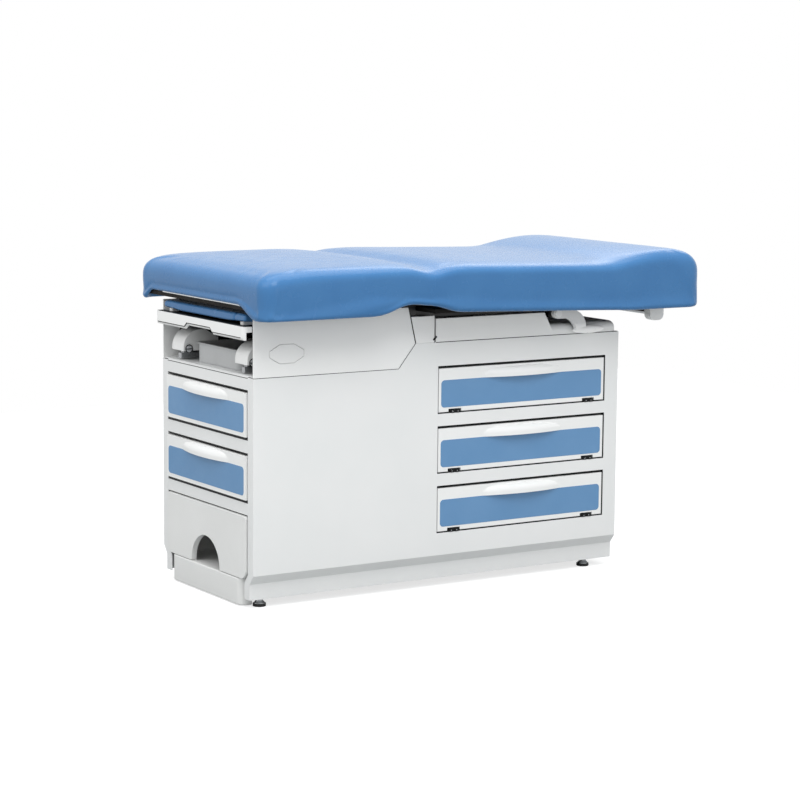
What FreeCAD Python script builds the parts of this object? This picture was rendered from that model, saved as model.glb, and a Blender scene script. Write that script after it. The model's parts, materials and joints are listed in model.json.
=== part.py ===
import FreeCAD, Part
import math
import os
from collections import namedtuple
from types import SimpleNamespace

import Sketcher
from FreeCAD import Placement, Rotation, Vector

# Driving dimensions in millimetres. X runs from the foot end to the head end,
# Y from the photographed long side to the far one, Z up from the floor.
SIZES = {
    # upholstered top
    "top_length": 1336, "top_width": 684, "foot_overhang": 28, "corner_round": 60,
    "seat_top": 828, "seat_skirt": 718, "foot_skirt": 750,
    "back_top": 822, "back_skirt": 700, "pillow_top": 848, "pillow_start": 308, "pillow_full": 150,
    "pillow_nose": 50, "pillow_drop": 22, "skirt_wall": 34, "edge_round": 24, "flex_length": 164,
    "board_thick": 12, "seat_board_level": 735, "back_board_level": 712, "board_inset": 14, "board_gap": 3,
    # cabinet shell
    "cab_length": 1100, "cab_width": 482, "sheet_wall": 2, "plinth_bottom": 22,
    "chamfer_bottom": 62, "chamfer_top": 85, "chamfer_inset": 18, "foot_wall_top": 571,
    "panel_top": 632, "shoulder_start": 414, "shoulder_end": 463, "stile_width": 27,
    "top_flange": 14, "foot_flange": 40, "bay_return": 12, "deck_level": 573,
    "partition_place": 500, "post_depth": 40, "rail_depth": 20,
    # plastic covers
    "cover_wall": 3, "cover_top": 724, "cover_lean": 21.5, "plug_place": 45, "plug_length": 97,
    "plug_bottom": 603,
    "plug_height": 48, "plug_corner_run": 28, "plug_corner_rise": 16, "plug_gap": 0.8, "plug_flange": 4,
    "pivot_gap": 3, "pivot_length": 54, "pivot_height": 68,
    "shroud_start": 524, "shroud_high": 692, "shroud_low": 660, "shroud_step": 859, "shroud_slope": 17,
    "shroud_round": 30, "shroud_shoulder": 18, "shroud_mouth_inset": 16, "shroud_mouth_length": 400,
    # side drawers
    "side_bay_room": 32, "side_bay_margin": 42, "side_bay_height": 122, "side_bay_first": 449,
    "side_bay_pitch": 153.5, "front_recess": 2, "front_thick": 15, "front_gap": 3.5, "front_gap_top": 7,
    "insert_end": 11, "insert_bottom": 15, "insert_height": 70, "insert_round": 10, "insert_depth": 3,
    "insert_proud": 0.5, "lip_length": 245, "lip_height": 26, "lip_reach": 16, "lip_wall": 4,
    "lip_roof": 10, "lip_round": 18,
    "glide_inset": 37, "glide_length": 32, "glide_height": 9, "glide_depth": 40, "slide_gap": 0.3,
    "tray_wall": 2, "tray_inset": 38, "tray_height": 84,
    # foot-end drawers and step
    "foot_bay_first": 416.5, "foot_bay_height": 123.5, "foot_bay_pitch": 155, "foot_front_proud": 5,
    "foot_front_gap": 8, "foot_insert_end": 12, "foot_insert_bottom": 18, "foot_insert_height": 71,
    "foot_tray_room": 15, "foot_tray_rear": 30,
    "rail_height": 30, "rail_thick": 11, "rail_lead": 6, "groove_height": 10, "groove_depth": 6,
    "runner_level": 45, "runner_start": 20, "runner_rear": 40,
    "step_top": 232, "step_bottom": 72, "step_front_round": 24, "step_brow_round": 8, "step_room": 13,
    "step_depth": 330, "step_skin": 6, "step_wall": 4, "step_roof": 224, "arch_radius": 76,
    "step_rail_level": 150,
    "base_bottom": 3, "base_top": 70, "base_proud": 1, "base_depth": 29, "base_round": 26, "base_floor": 6,
    "tread_thick": 4, "tread_inset": 14,
    # niche: leg rest, stirrups, pan
    "seat_plate_inset": 12, "seat_plate_wall": 4, "seat_plate_start": 40,
    "legrest_bottom": 664, "legrest_top": 697, "legrest_reach": 24, "legrest_inset": 5,
    "legrest_round": 14, "legrest_board": 7, "legrest_board_gap": 22, "legrest_board_length": 420,
    "legrest_pad_top": 725, "legrest_pad_gap": 3, "legrest_pad_round": 9,
    "legrest_plate": 9, "legrest_flange": 14, "legrest_lip": 5, "legrest_lip_depth": 4,
    "notch_half": 62, "notch_slope": 12, "notch_height": 10,
    "guide_lap": 20, "guide_drop": 30,
    "stirrup_inset": 53, "bar_side": 14, "bar_wide": 16, "bar_start": 12, "bar_length": 458,
    "stem_before": 2, "bar_level": 578, "bar_guide_start": 120, "bar_guide_length": 140,
    "bar_guide_wall": 8,
    "cup_place": 6, "cup_half": 31.5, "cup_length": 100, "cup_top": 653, "cup_bottom": 599, "cup_wall": 4,
    "cup_round": 46, "cup_flat": 16, "cup_rear_drop": 22, "cup_rear_rise": 14, "cup_sole": 60,
    "cup_screw_place": 20, "cup_screw_level": 605, "cup_screw_radius": 5, "running_fit": 0.05,
    "pan_gap": 27.5, "pan_start": 30, "pan_length": 240, "pan_top": 626, "pan_wall": 3, "pan_round": 18,
    "pan_rim": 6,
    # back rest, hinge and gas spring
    "hinge_place": 458, "hinge_level": 722, "hinge_pin_radius": 7, "hinge_boss": 14, "leaf_gap": 4,
    "leaf_wall": 5, "leaf_drop": 18, "leaf_throat": 42, "leaf_rear": 63, "back_board_gap": 22,
    "spring_foot_place": 122, "spring_foot_level": 605, "spring_head_place": 392, "spring_head_level": 698,
    "spring_radius": 13, "spring_rod_radius": 5, "spring_eye": 9, "spring_eye_half": 6,
    "spring_pin_radius": 4, "spring_lap": 2, "spring_mouth": 24,
    "clevis_half": 8, "clevis_wall": 4, "clevis_length": 30,
    "shaft_place": 432, "shaft_level": 690, "shaft_radius": 6, "hanger_length": 24, "hanger_wide": 14,
    "lever_gap": 6, "lever_wide": 12, "lever_hub": 14, "arm_rise": 7, "arm_run": 52, "arm_bend": 50,
    "neck_place": 10, "neck_wide": 30, "paddle_place": 100, "paddle_half": 51, "paddle_level": 644,
    "paddle_tall": 11, "paddle_thick": 9,
    "paper_inset": 34, "paper_level": 672, "paper_radius": 7, "paper_bracket_half": 194,
    "paper_bracket_wide": 26, "paper_bracket_before": 19, "paper_bracket_after": 27,
    "paper_bracket_bottom": 652, "paper_bracket_round": 16,
    # levelling feet
    "foot_place": 42, "head_foot_place": 71, "foot_inset": 45, "foot_radius": 16.5, "foot_height": 8,
    "stud_radius": 5, "stud_height": 52, "collar_radius": 9, "collar_height": 14,
}

Round = namedtuple("Round", "centre radius")
SIDES = {"near": -1, "far": 1}
TURNS = {
    "x": Rotation(Vector(0, 1, 0), 90),
    "y": Rotation(Vector(1, 0, 0), -90),
    "z": Rotation(),
}
CUT_ROOM = 3

doc = FreeCAD.newDocument("ExaminationTable")
sheet = doc.addObject("Spreadsheet::Sheet", "Sizes")
nodes = []


class Size:
    """A length: its value in millimetres and the sheet formula that gives it."""

    def __init__(self, value, text):
        self.value = float(value)
        self.text = text

    def __add__(self, other):
        other = as_size(other)
        return Size(self.value + other.value, f"({self.text} + {other.text})")

    def __sub__(self, other):
        other = as_size(other)
        return Size(self.value - other.value, f"({self.text} - {other.text})")

    def __mul__(self, factor):
        factor = as_size(factor)
        return Size(self.value * factor.value, f"({self.text} * {factor.text})")

    def __truediv__(self, divisor):
        divisor = as_size(divisor)
        return Size(self.value / divisor.value, f"({self.text} / {divisor.text})")

    def __neg__(self):
        return self * -1

    __radd__ = __add__
    __rmul__ = __mul__


def as_size(length):
    if isinstance(length, Size):
        return length
    return Size(length, f"({length})")


def fill_sheet():
    for row, (name, length) in enumerate(SIZES.items(), start=1):
        sheet.set(f"A{row}", name)
        sheet.set(f"B{row}", str(length))
        sheet.setAlias(f"B{row}", name)
    doc.recompute()
    return SimpleNamespace(**{name: Size(length, f"Sizes.{name}") for name, length in SIZES.items()})


dim = fill_sheet()

# Planes and levels that several pieces share.
foot = dim.foot_overhang - dim.top_length / 2
head = foot + dim.cab_length
top_foot = -dim.top_length / 2
top_head = dim.top_length / 2
half = dim.cab_width / 2
top_half = dim.top_width / 2
inner = half - dim.sheet_wall
plinth = half - dim.chamfer_inset
plinth_inner = plinth - dim.sheet_wall
stile = half - dim.stile_width
shoulder = foot + dim.shoulder_end
partition_x = foot + dim.partition_place
deck_top = dim.deck_level + dim.sheet_wall
hinge_x = foot + dim.hinge_place
hinge_z = dim.hinge_level
seat_board_top = dim.seat_board_level + dim.board_thick
back_board_top = dim.back_board_level + dim.board_thick
seat_end = hinge_x - (dim.flex_length / 2)
back_start = hinge_x + (dim.flex_length / 2)
cover_inner = half - dim.cover_wall
board_half = top_half - dim.skirt_wall - dim.board_gap
plate_half = cover_inner - dim.seat_plate_inset - dim.seat_plate_wall
leaf_half = plate_half - dim.leaf_gap - dim.leaf_wall
lever_half = half + dim.lever_gap
legrest_board_half = plate_half - dim.legrest_board_gap
legrest_pad_half = plate_half - dim.legrest_pad_gap
stirrup_half = plate_half - dim.stirrup_inset
rail_half = stile - dim.rail_thick
step_half = rail_half - dim.step_room


def node(label, piece):
    """Keep a finished sub-part under the name of its file."""
    piece.Label = label
    nodes.append(piece)
    return piece


def on_side(side, near_middle, outer):
    if side < 0:
        return (-outer, -near_middle)
    return (near_middle, outer)


def mirror_span(reach):
    return (-reach, reach)


def place_at(piece, corner):
    for axis, length in zip("xyz", corner):
        piece.setExpression(f"Placement.Base.{axis}", as_size(length).text)


def box(x_span, y_span, z_span):
    piece = doc.addObject("Part::Box", "block")
    for side_name, (low, high) in zip(("Length", "Width", "Height"), (x_span, y_span, z_span)):
        piece.setExpression(side_name, (high - low).text)
    place_at(piece, (x_span[0], y_span[0], z_span[0]))
    return piece


def rod(axis, across, span, radius):
    piece = doc.addObject("Part::Cylinder", "rod")
    piece.Placement = Placement(Vector(), TURNS[axis])
    piece.setExpression("Radius", radius.text)
    piece.setExpression("Height", (span[1] - span[0]).text)
    corner = list(across)
    corner.insert("xyz".index(axis), span[0])
    place_at(piece, corner)
    return piece


def join(*pieces):
    whole = doc.addObject("Part::MultiFuse", "joined")
    whole.Shapes = list(pieces)
    whole.Refine = True
    return whole


def cut(base, *tools):
    rest = doc.addObject("Part::Cut", "cut")
    rest.Base = base
    rest.Tool = tools[0] if len(tools) == 1 else join(*tools)
    rest.Refine = True
    return rest


def group(label, pieces):
    """Several like pieces in one node, as separate solids."""
    gathered = doc.addObject("Part::Compound", "set")
    gathered.Links = list(pieces)
    return node(label, gathered)


def new_body(name):
    return doc.addObject("PartDesign::Body", name)


def new_sketch(body, plane, level, outlines):
    sketch = body.newObject("Sketcher::SketchObject", "outline")
    support = next(item for item in body.Origin.OriginFeatures if item.Role == plane + "_Plane")
    sketch.AttachmentSupport = [(support, "")]
    sketch.MapMode = "FlatFace"
    offset = -level if plane == "XZ" else level
    sketch.setExpression("AttachmentOffset.Base.z", offset.text)
    for outline in outlines:
        if isinstance(outline, Round):
            draw_circle(sketch, outline)
        else:
            draw_outline(sketch, outline)
    return sketch


def pin_point(sketch, geometry, position, point):
    for name, length in zip(("DistanceX", "DistanceY"), point):
        length = as_size(length)
        index = sketch.addConstraint(Sketcher.Constraint(name, -1, 1, geometry, position, length.value))
        sketch.setExpression(f"Constraints[{index}]", length.text)


def pin_radius(sketch, geometry, radius):
    index = sketch.addConstraint(Sketcher.Constraint("Radius", geometry, radius.value))
    sketch.setExpression(f"Constraints[{index}]", radius.text)


def bend(start, end, radius):
    """Arc from start to end that turns left, or right for a negative radius."""
    chord = end - start
    left = Vector(-chord.y, chord.x, 0).normalize()
    rise = math.sqrt(max(radius ** 2 - chord.Length ** 2 / 4, 0))
    centre = (start + end) / 2 + left * math.copysign(rise, radius)
    spokes = [point - centre for point in ((start, end) if radius > 0 else (end, start))]
    circle = Part.Circle(centre, Vector(0, 0, 1), abs(radius))
    return Part.ArcOfCircle(circle, *(math.atan2(spoke.y, spoke.x) for spoke in spokes))


def draw_outline(sketch, points):
    """Closed outline. A point's third value is the radius of an arc that leads to the next point."""
    first = sketch.GeometryCount
    count = len(points)
    flat = [Vector(as_size(point[0]).value, as_size(point[1]).value, 0) for point in points]
    ends = []
    for i, point in enumerate(points):
        following = flat[(i + 1) % count]
        radius = as_size(point[2]).value if len(point) > 2 else 0
        piece = bend(flat[i], following, radius) if radius else Part.LineSegment(flat[i], following)
        sketch.addGeometry(piece)
        ends.append((2, 1) if radius < 0 else (1, 2))
    for i in range(count):
        after = (i + 1) % count
        meeting = Sketcher.Constraint("Coincident", first + i, ends[i][1], first + after, ends[after][0])
        sketch.addConstraint(meeting)
    for i, point in enumerate(points):
        pin_point(sketch, first + i, ends[i][0], point[:2])
        if len(point) > 2:
            pin_radius(sketch, first + i, point[2] if point[2].value > 0 else -point[2])


def draw_circle(sketch, circle):
    index = sketch.GeometryCount
    centre = Vector(*(as_size(length).value for length in circle.centre), 0)
    sketch.addGeometry(Part.Circle(centre, Vector(0, 0, 1), circle.radius.value))
    pin_point(sketch, index, 3, circle.centre)
    pin_radius(sketch, index, circle.radius)


def pad(body, plane, outlines, span):
    feature_start = span[1] if plane == "XZ" else span[0]
    sketch = new_sketch(body, plane, feature_start, outlines)
    feature = body.newObject("PartDesign::Pad", "pad")
    feature.Profile = sketch
    feature.setExpression("Length", (span[1] - span[0]).text)
    return feature


def pocket(body, plane, outlines, span):
    doc.recompute()
    volume = body.Shape.Volume
    feature_start = span[0] if plane == "XZ" else span[1]
    sketch = new_sketch(body, plane, feature_start, outlines)
    feature = body.newObject("PartDesign::Pocket", "pocket")
    feature.Profile = sketch
    feature.setExpression("Length", (span[1] - span[0]).text)
    doc.recompute()
    if body.Shape.Volume >= volume:
        raise RuntimeError(f"a pocket of {body.Label} cuts nothing")
    return feature


def turn(body, plane, outline, level, axis, angle):
    """Revolve an outline, half the angle to each side, about the vertical line that it is drawn from."""
    sketch = new_sketch(body, plane, level, [outline])
    sketch.setExpression("AttachmentOffset.Base.x", axis.text)
    feature = body.newObject("PartDesign::Revolution", "turned")
    feature.Profile = sketch
    feature.ReferenceAxis = (sketch, ["V_Axis"])
    feature.setExpression("Angle", angle)
    feature.Midplane = True
    return feature


def soften(body, radius, wanted):
    """Round the edges of a body's last feature that the test accepts."""
    doc.recompute()
    base = body.Tip
    names = [f"Edge{i}" for i, edge in enumerate(base.Shape.Edges, start=1) if wanted(edge)]
    if not names:
        raise RuntimeError(f"no edge to round on {body.Label}")
    feature = body.newObject("PartDesign::Fillet", "rounded")
    feature.Base = (base, names)
    feature.setExpression("Radius", radius.text)
    doc.recompute()
    return feature


def runs_along(edge, axis):
    extent = edge.BoundBox
    lengths = {"x": extent.XLength, "y": extent.YLength, "z": extent.ZLength}
    return all(length < 1e-4 for name, length in lengths.items() if name != axis)


def middle(edge):
    return edge.BoundBox.Center


def near(value, length):
    return abs(value - length.value) < 1e-3


def rect(across, up):
    return [(across[0], up[0]), (across[1], up[0]), (across[1], up[1]), (across[0], up[1])]


def rounded_rect(across, up, radius):
    return [
        (across[0] + radius, up[0]),
        (across[1] - radius, up[0], radius),
        (across[1], up[0] + radius),
        (across[1], up[1] - radius, radius),
        (across[1] - radius, up[1]),
        (across[0] + radius, up[1], radius),
        (across[0], up[1] - radius),
        (across[0], up[0] + radius, radius),
    ]


def mirrored(points, side):
    return [(across * side, up, *(radius * side for radius in bends)) for across, up, *bends in points]


def arc_radius(chord, rise):
    return (chord * chord / 4 + rise * rise) / (rise * 2)


# Bays of the drawers.
side_bay = (partition_x + dim.side_bay_room, head - dim.side_bay_margin)
side_bays = [dim.side_bay_first - dim.side_bay_pitch * i for i in range(3)]
foot_bays = [dim.foot_bay_first - dim.foot_bay_pitch * i for i in range(2)]
glide_starts = (side_bay[0] + dim.glide_inset, side_bay[1] - dim.glide_inset - dim.glide_length)
foot_centres = (foot + dim.foot_place, head - dim.head_foot_place)


def side_panel(name, side):
    """Folded sheet with a plinth chamfer, a foot-end stile and three drawer bays."""
    wall = dim.sheet_wall
    body = new_body("side_panel_" + name)
    skin = [
        (half - dim.top_flange, dim.panel_top),
        (half, dim.panel_top),
        (half, dim.chamfer_top),
        (plinth, dim.chamfer_bottom),
        (plinth, dim.plinth_bottom),
        (plinth - dim.foot_flange, dim.plinth_bottom),
        (plinth - dim.foot_flange, dim.plinth_bottom + wall),
        (plinth_inner, dim.plinth_bottom + wall),
        (plinth_inner, dim.chamfer_bottom),
        (inner, dim.chamfer_top),
        (inner, dim.panel_top - wall),
        (half - dim.top_flange, dim.panel_top - wall),
    ]
    pad(body, "YZ", [mirrored(skin, side)], (foot, head))
    shoulder_cut = [
        (foot - CUT_ROOM, dim.foot_wall_top),
        (foot + dim.shoulder_start, dim.foot_wall_top),
        (shoulder, dim.panel_top),
        (shoulder, dim.panel_top + CUT_ROOM),
        (foot - CUT_ROOM, dim.panel_top + CUT_ROOM),
    ]
    pocket(body, "XZ", [shoulder_cut], on_side(side, half - dim.top_flange - CUT_ROOM, half + CUT_ROOM))
    bays = [rect(side_bay, (low, low + dim.side_bay_height)) for low in side_bays]
    pocket(body, "XZ", bays, on_side(side, inner - CUT_ROOM, half + CUT_ROOM))
    base_room_y = on_side(side, plinth - dim.foot_flange, plinth_inner)
    base_room = rect((foot - CUT_ROOM, foot + dim.base_depth), base_room_y)
    pocket(body, "XY", [base_room], (dim.plinth_bottom - CUT_ROOM, dim.plinth_bottom + wall))
    stud_y = (half - dim.foot_inset) * side
    studs = [Round((x, stud_y), dim.stud_radius + dim.running_fit) for x in foot_centres]
    pocket(body, "XY", studs, (dim.plinth_bottom - CUT_ROOM, dim.plinth_bottom + wall + CUT_ROOM))
    stile_face = [
        (half, dim.foot_wall_top),
        (half, dim.chamfer_top),
        (plinth, dim.chamfer_bottom),
        (plinth, dim.plinth_bottom),
        (plinth - dim.stile_width, dim.plinth_bottom),
        (plinth - dim.stile_width, dim.chamfer_bottom),
        (stile, dim.chamfer_top),
        (stile, dim.foot_wall_top),
    ]
    pad(body, "YZ", [mirrored(stile_face, side)], (foot, foot + wall))
    rings = list(bays)
    ring_x = (side_bay[0] - wall, side_bay[1] + wall)
    for low in side_bays:
        rings.append(rect(ring_x, (low - wall, low + dim.side_bay_height + wall)))
    pad(body, "XZ", rings, on_side(side, half - dim.bay_return, inner))
    return node("side_panel_" + name, body)


def foot_frame():
    """Rails between the foot-end bays, on two posts behind the stiles."""
    wall = dim.sheet_wall
    bay_tops = [low + dim.foot_bay_height for low in foot_bays]
    rails = [(bay_tops[0], dim.deck_level), (bay_tops[1], foot_bays[0]), (dim.step_top, foot_bays[1])]
    pieces = []
    for low, high in rails:
        pieces.append(box((foot, foot + wall), mirror_span(stile), (low, high)))
        for level in (low, high - wall):
            pieces.append(box((foot, foot + dim.rail_depth), mirror_span(stile), (level, level + wall)))
    for side in SIDES.values():
        post = box(
            (foot + wall * 2, foot + dim.post_depth),
            on_side(side, stile, stile + wall),
            (dim.chamfer_top, dim.deck_level),
        )
        pieces.append(post)
    return node("foot_frame", join(*pieces))


def end_outline(top):
    right = [(inner, top), (inner, dim.chamfer_top), (plinth_inner, dim.chamfer_bottom),
             (plinth_inner, dim.plinth_bottom + dim.sheet_wall)]
    return right + mirrored(right[::-1], -1)


def cabinet_plates():
    wall = dim.sheet_wall
    head_panel = new_body("head_panel")
    pad(head_panel, "YZ", [end_outline(dim.panel_top - wall)], (head - wall, head))
    node("head_panel", head_panel)
    partition = new_body("partition")
    pad(partition, "YZ", [end_outline(dim.deck_level)], (partition_x, partition_x + wall))
    node("partition", partition)
    base_pan = box((partition_x + wall, head - wall), mirror_span(plinth_inner),
                   (dim.chamfer_bottom - wall, dim.chamfer_bottom))
    node("base_pan", base_pan)


spring_foot = (hinge_x + dim.spring_foot_place, dim.spring_foot_level)
spring_head = (hinge_x + dim.spring_head_place, dim.spring_head_level)


def deck_plate():
    """Shelf of the niche and top of the drawer space, with the gas spring's fork and pin."""
    plate_x = (foot + dim.sheet_wall, head - dim.sheet_wall)
    plate = box(plate_x, mirror_span(cover_inner), (dim.deck_level, deck_top))
    fork_half = dim.clevis_half + dim.clevis_wall
    fork_top = spring_foot[1] + dim.spring_eye
    fork_x = (spring_foot[0] - dim.clevis_length / 2, spring_foot[0] + dim.clevis_length / 2)
    cheeks = [
        box(fork_x, on_side(side, dim.clevis_half, fork_half), (deck_top, fork_top))
        for side in SIDES.values()
    ]
    pin = rod("y", spring_foot, mirror_span(fork_half), dim.spring_pin_radius)
    node("deck_plate", join(plate, pin, *cheeks))


def octagon(grow):
    low_x = foot + dim.plug_place - grow
    high_x = foot + dim.plug_place + dim.plug_length + grow
    low_z = dim.plug_bottom - grow
    high_z = dim.plug_bottom + dim.plug_height + grow
    run = dim.plug_corner_run
    rise = dim.plug_corner_rise
    return [
        (low_x + run, low_z), (high_x - run, low_z), (high_x, low_z + rise), (high_x, high_z - rise),
        (high_x - run, high_z), (low_x + run, high_z), (low_x, high_z - rise), (low_x, low_z + rise),
    ]


def side_covers():
    """Plastic covers over the niche walls, each with an octagonal plug, and the pivot covers."""
    plugs = []
    pivots = []
    for name, side in SIDES.items():
        body = new_body("side_cover_" + name)
        outline = [
            (foot, dim.foot_wall_top),
            (foot + dim.shoulder_start, dim.foot_wall_top),
            (shoulder, dim.panel_top),
            (shoulder - dim.cover_lean, dim.cover_top),
            (foot, dim.cover_top),
        ]
        wall = on_side(side, cover_inner, half)
        pad(body, "XZ", [outline], wall)
        pocket(body, "XZ", [octagon(as_size(0))], on_side(side, cover_inner - CUT_ROOM, half + CUT_ROOM))
        node("side_cover_" + name, body)
        plug = new_body("plug_" + name)
        pad(plug, "XZ", [octagon(-dim.plug_gap)], wall)
        flange = on_side(side, cover_inner - dim.cover_wall, cover_inner)
        pad(plug, "XZ", [octagon(dim.plug_flange)], flange)
        plugs.append(plug)
        pivot = new_body("pivot_cover_" + name)
        pivot_x = shoulder + dim.pivot_gap
        pivot_top = dim.panel_top + dim.pivot_height
        pivot_lean = dim.cover_lean * dim.pivot_height / (dim.cover_top - dim.panel_top)
        pivot_outline = [
            (pivot_x, dim.panel_top),
            (pivot_x + dim.pivot_length, dim.panel_top),
            (pivot_x + dim.pivot_length, pivot_top),
            (pivot_x - pivot_lean, pivot_top),
        ]
        pad(pivot, "XZ", [pivot_outline], wall)
        pivots.append(pivot)
    group("cover_plugs", plugs)
    group("pivot_covers", pivots)


def top_shroud():
    """Open tray round the head half, high beside the hinge and low, with rounded edges, past the lever."""
    body = new_body("top_shroud")
    start = foot + dim.shroud_start
    high_end = foot + dim.shroud_step
    low_start = high_end + dim.shroud_slope
    profile = [
        (start, dim.panel_top),
        (head, dim.panel_top),
        (head, dim.shroud_low),
        (low_start, dim.shroud_low),
        (high_end, dim.shroud_high),
        (start, dim.shroud_high),
    ]
    pad(body, "XZ", [profile], mirror_span(half))
    soften(body, dim.shroud_round, lambda edge: runs_along(edge, "z") and near(middle(edge).x, head))
    wall = dim.cover_wall
    hollow_x = (start - CUT_ROOM, head - wall - dim.shroud_shoulder)
    hollow = rect(hollow_x, mirror_span(cover_inner - dim.shroud_shoulder))
    pocket(body, "XY", [hollow], (dim.panel_top + wall, dim.shroud_high + CUT_ROOM))
    mouth_start = start + dim.shroud_mouth_inset
    mouth = rect((mouth_start, mouth_start + dim.shroud_mouth_length), mirror_span(leaf_half))
    pocket(body, "XY", [mouth], (dim.panel_top - CUT_ROOM, dim.panel_top + wall))

    def shoulder_rim(edge):
        extent = edge.BoundBox
        outside = near(extent.XMax, head) or near(extent.YMax, half) or near(extent.YMin, -half)
        return outside and near(extent.ZMin, dim.shroud_low) and extent.XMax > low_start.value + CUT_ROOM

    soften(body, dim.shroud_shoulder, shoulder_rim)
    node("top_shroud", body)


def seat_supports():
    """Steel plates that carry the seat board and hold the backrest's hinge pins."""
    for name, side in SIDES.items():
        outer = plate_half + dim.seat_plate_wall
        body = new_body("seat_plate_" + name)
        ear = hinge_x + dim.hinge_boss
        outline = [
            (foot + dim.seat_plate_start, deck_top),
            (ear, deck_top),
            (ear, hinge_z + dim.hinge_boss),
            (hinge_x - dim.hinge_boss, hinge_z + dim.hinge_boss),
            (hinge_x - dim.hinge_boss, dim.seat_board_level),
            (foot + dim.seat_plate_start, dim.seat_board_level),
        ]
        pad(body, "XZ", [outline], on_side(side, plate_half, outer))
        pin = Round((hinge_x, hinge_z), dim.hinge_pin_radius)
        pad(body, "XZ", [pin], on_side(side, leaf_half, plate_half))
        node("seat_plate_" + name, body)
    board_x = (top_foot + dim.board_inset, hinge_x - dim.back_board_gap)
    node("seat_board", box(board_x, mirror_span(board_half), (dim.seat_board_level, seat_board_top)))


def is_top_edge(edge, level):
    return near(edge.BoundBox.ZMin, level)


def cushions():
    """Upholstery: seat, back with its pillow rise, and the part that bends over the hinge."""
    inside = top_half - dim.skirt_wall
    seat = new_body("seat_cushion")
    pad(seat, "XY", [rect((top_foot, seat_end), mirror_span(top_half))], (dim.seat_skirt, dim.seat_top))
    soften(seat, dim.corner_round, lambda edge: runs_along(edge, "z") and near(middle(edge).x, top_foot))
    hollow = rect((top_foot + dim.board_inset, seat_end + CUT_ROOM), mirror_span(inside))
    pocket(seat, "XY", [hollow], (dim.seat_skirt - CUT_ROOM, seat_board_top))
    arch_half = legrest_pad_half + dim.board_gap
    foot_arch = rect((top_foot - CUT_ROOM, top_foot + dim.board_inset), mirror_span(arch_half))
    pocket(seat, "XY", [foot_arch], (dim.seat_skirt - CUT_ROOM, dim.foot_skirt))
    soften(seat, dim.edge_round,
           lambda edge: is_top_edge(edge, dim.seat_top) and not near(middle(edge).x, seat_end))
    node("seat_cushion", seat)

    back = new_body("back_cushion")
    pillow = top_head - dim.pillow_start
    pillow_full = top_head - dim.pillow_full
    profile = [
        (back_start, seat_board_top),
        (back_start + dim.skirt_wall, dim.back_skirt),
        (top_head, dim.back_skirt),
        (top_head, dim.pillow_top - dim.pillow_drop),
        (top_head - dim.pillow_nose, dim.pillow_top),
        (pillow_full, dim.pillow_top),
        (pillow, dim.back_top),
        (back_start, dim.seat_top),
    ]
    pad(back, "XZ", [profile], mirror_span(top_half))
    soften(back, dim.corner_round,
           lambda edge: runs_along(edge, "z") and near(middle(edge).x, top_head))
    hollow = rect((back_start - CUT_ROOM, top_head - dim.skirt_wall), mirror_span(inside))
    pocket(back, "XY", [hollow], (dim.back_skirt - CUT_ROOM, back_board_top))
    node("back_cushion", back)

    flex = box((seat_end, back_start), mirror_span(top_half), (seat_board_top, dim.seat_top))
    node("flex_pad", flex)


def pull_front(name, plane, face_span, outline, lip, insert, out, notches):
    """Drawer front with a hooded pull, arched in plan. Its face points along out, 1 or -1."""
    body = new_body(name)
    pad(body, plane, [outline], face_span)
    face, back = face_span[::-1] if out > 0 else face_span
    lip_centre, lip_low = lip
    lip_high = lip_low + dim.lip_height
    radius = arc_radius(dim.lip_length, dim.lip_reach)
    root = radius - dim.lip_reach - dim.insert_depth
    hood = [
        (radius, lip_low),
        (radius, lip_high - dim.lip_round, dim.lip_round),
        (radius - dim.lip_round, lip_high),
        (root, lip_high),
        (root, lip_high - dim.lip_roof),
        (radius - dim.lip_wall, lip_high - dim.lip_roof),
        (radius - dim.lip_wall, lip_low),
    ]
    across = "YZ" if plane == "XZ" else "XZ"
    sweep = f"2 * asin({dim.lip_length.text} / (2 * {radius.text}))"
    turn(body, across, mirrored(hood, out), lip_centre, face + (dim.lip_reach - radius) * out, sweep)
    lip_span = (lip_centre - dim.lip_length / 2, lip_centre + dim.lip_length / 2)
    behind = (back - dim.lip_reach * out, back)
    pocket(body, plane, [rect(lip_span, (lip_low, lip_high))], behind if out > 0 else behind[::-1])
    bed = (face - dim.insert_depth * out, face + CUT_ROOM * out)
    pocket(body, plane, [insert], bed if out > 0 else bed[::-1])
    if notches:
        pocket(body, plane, notches, (face_span[0] - CUT_ROOM, face_span[1] + CUT_ROOM))
    return body


def insert_plate(name, plane, insert, face, out):
    body = new_body(name)
    span = (face - dim.insert_depth * out, face + dim.insert_proud * out)
    pad(body, plane, [insert], span if out > 0 else span[::-1])
    return body


def open_tray(x_span, y_span, z_span):
    wall = dim.tray_wall
    hollow = box((x_span[0] + wall, x_span[1] - wall), (y_span[0] + wall, y_span[1] - wall),
                 (z_span[0] + wall, z_span[1] + CUT_ROOM))
    return cut(box(x_span, y_span, z_span), hollow)


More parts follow.
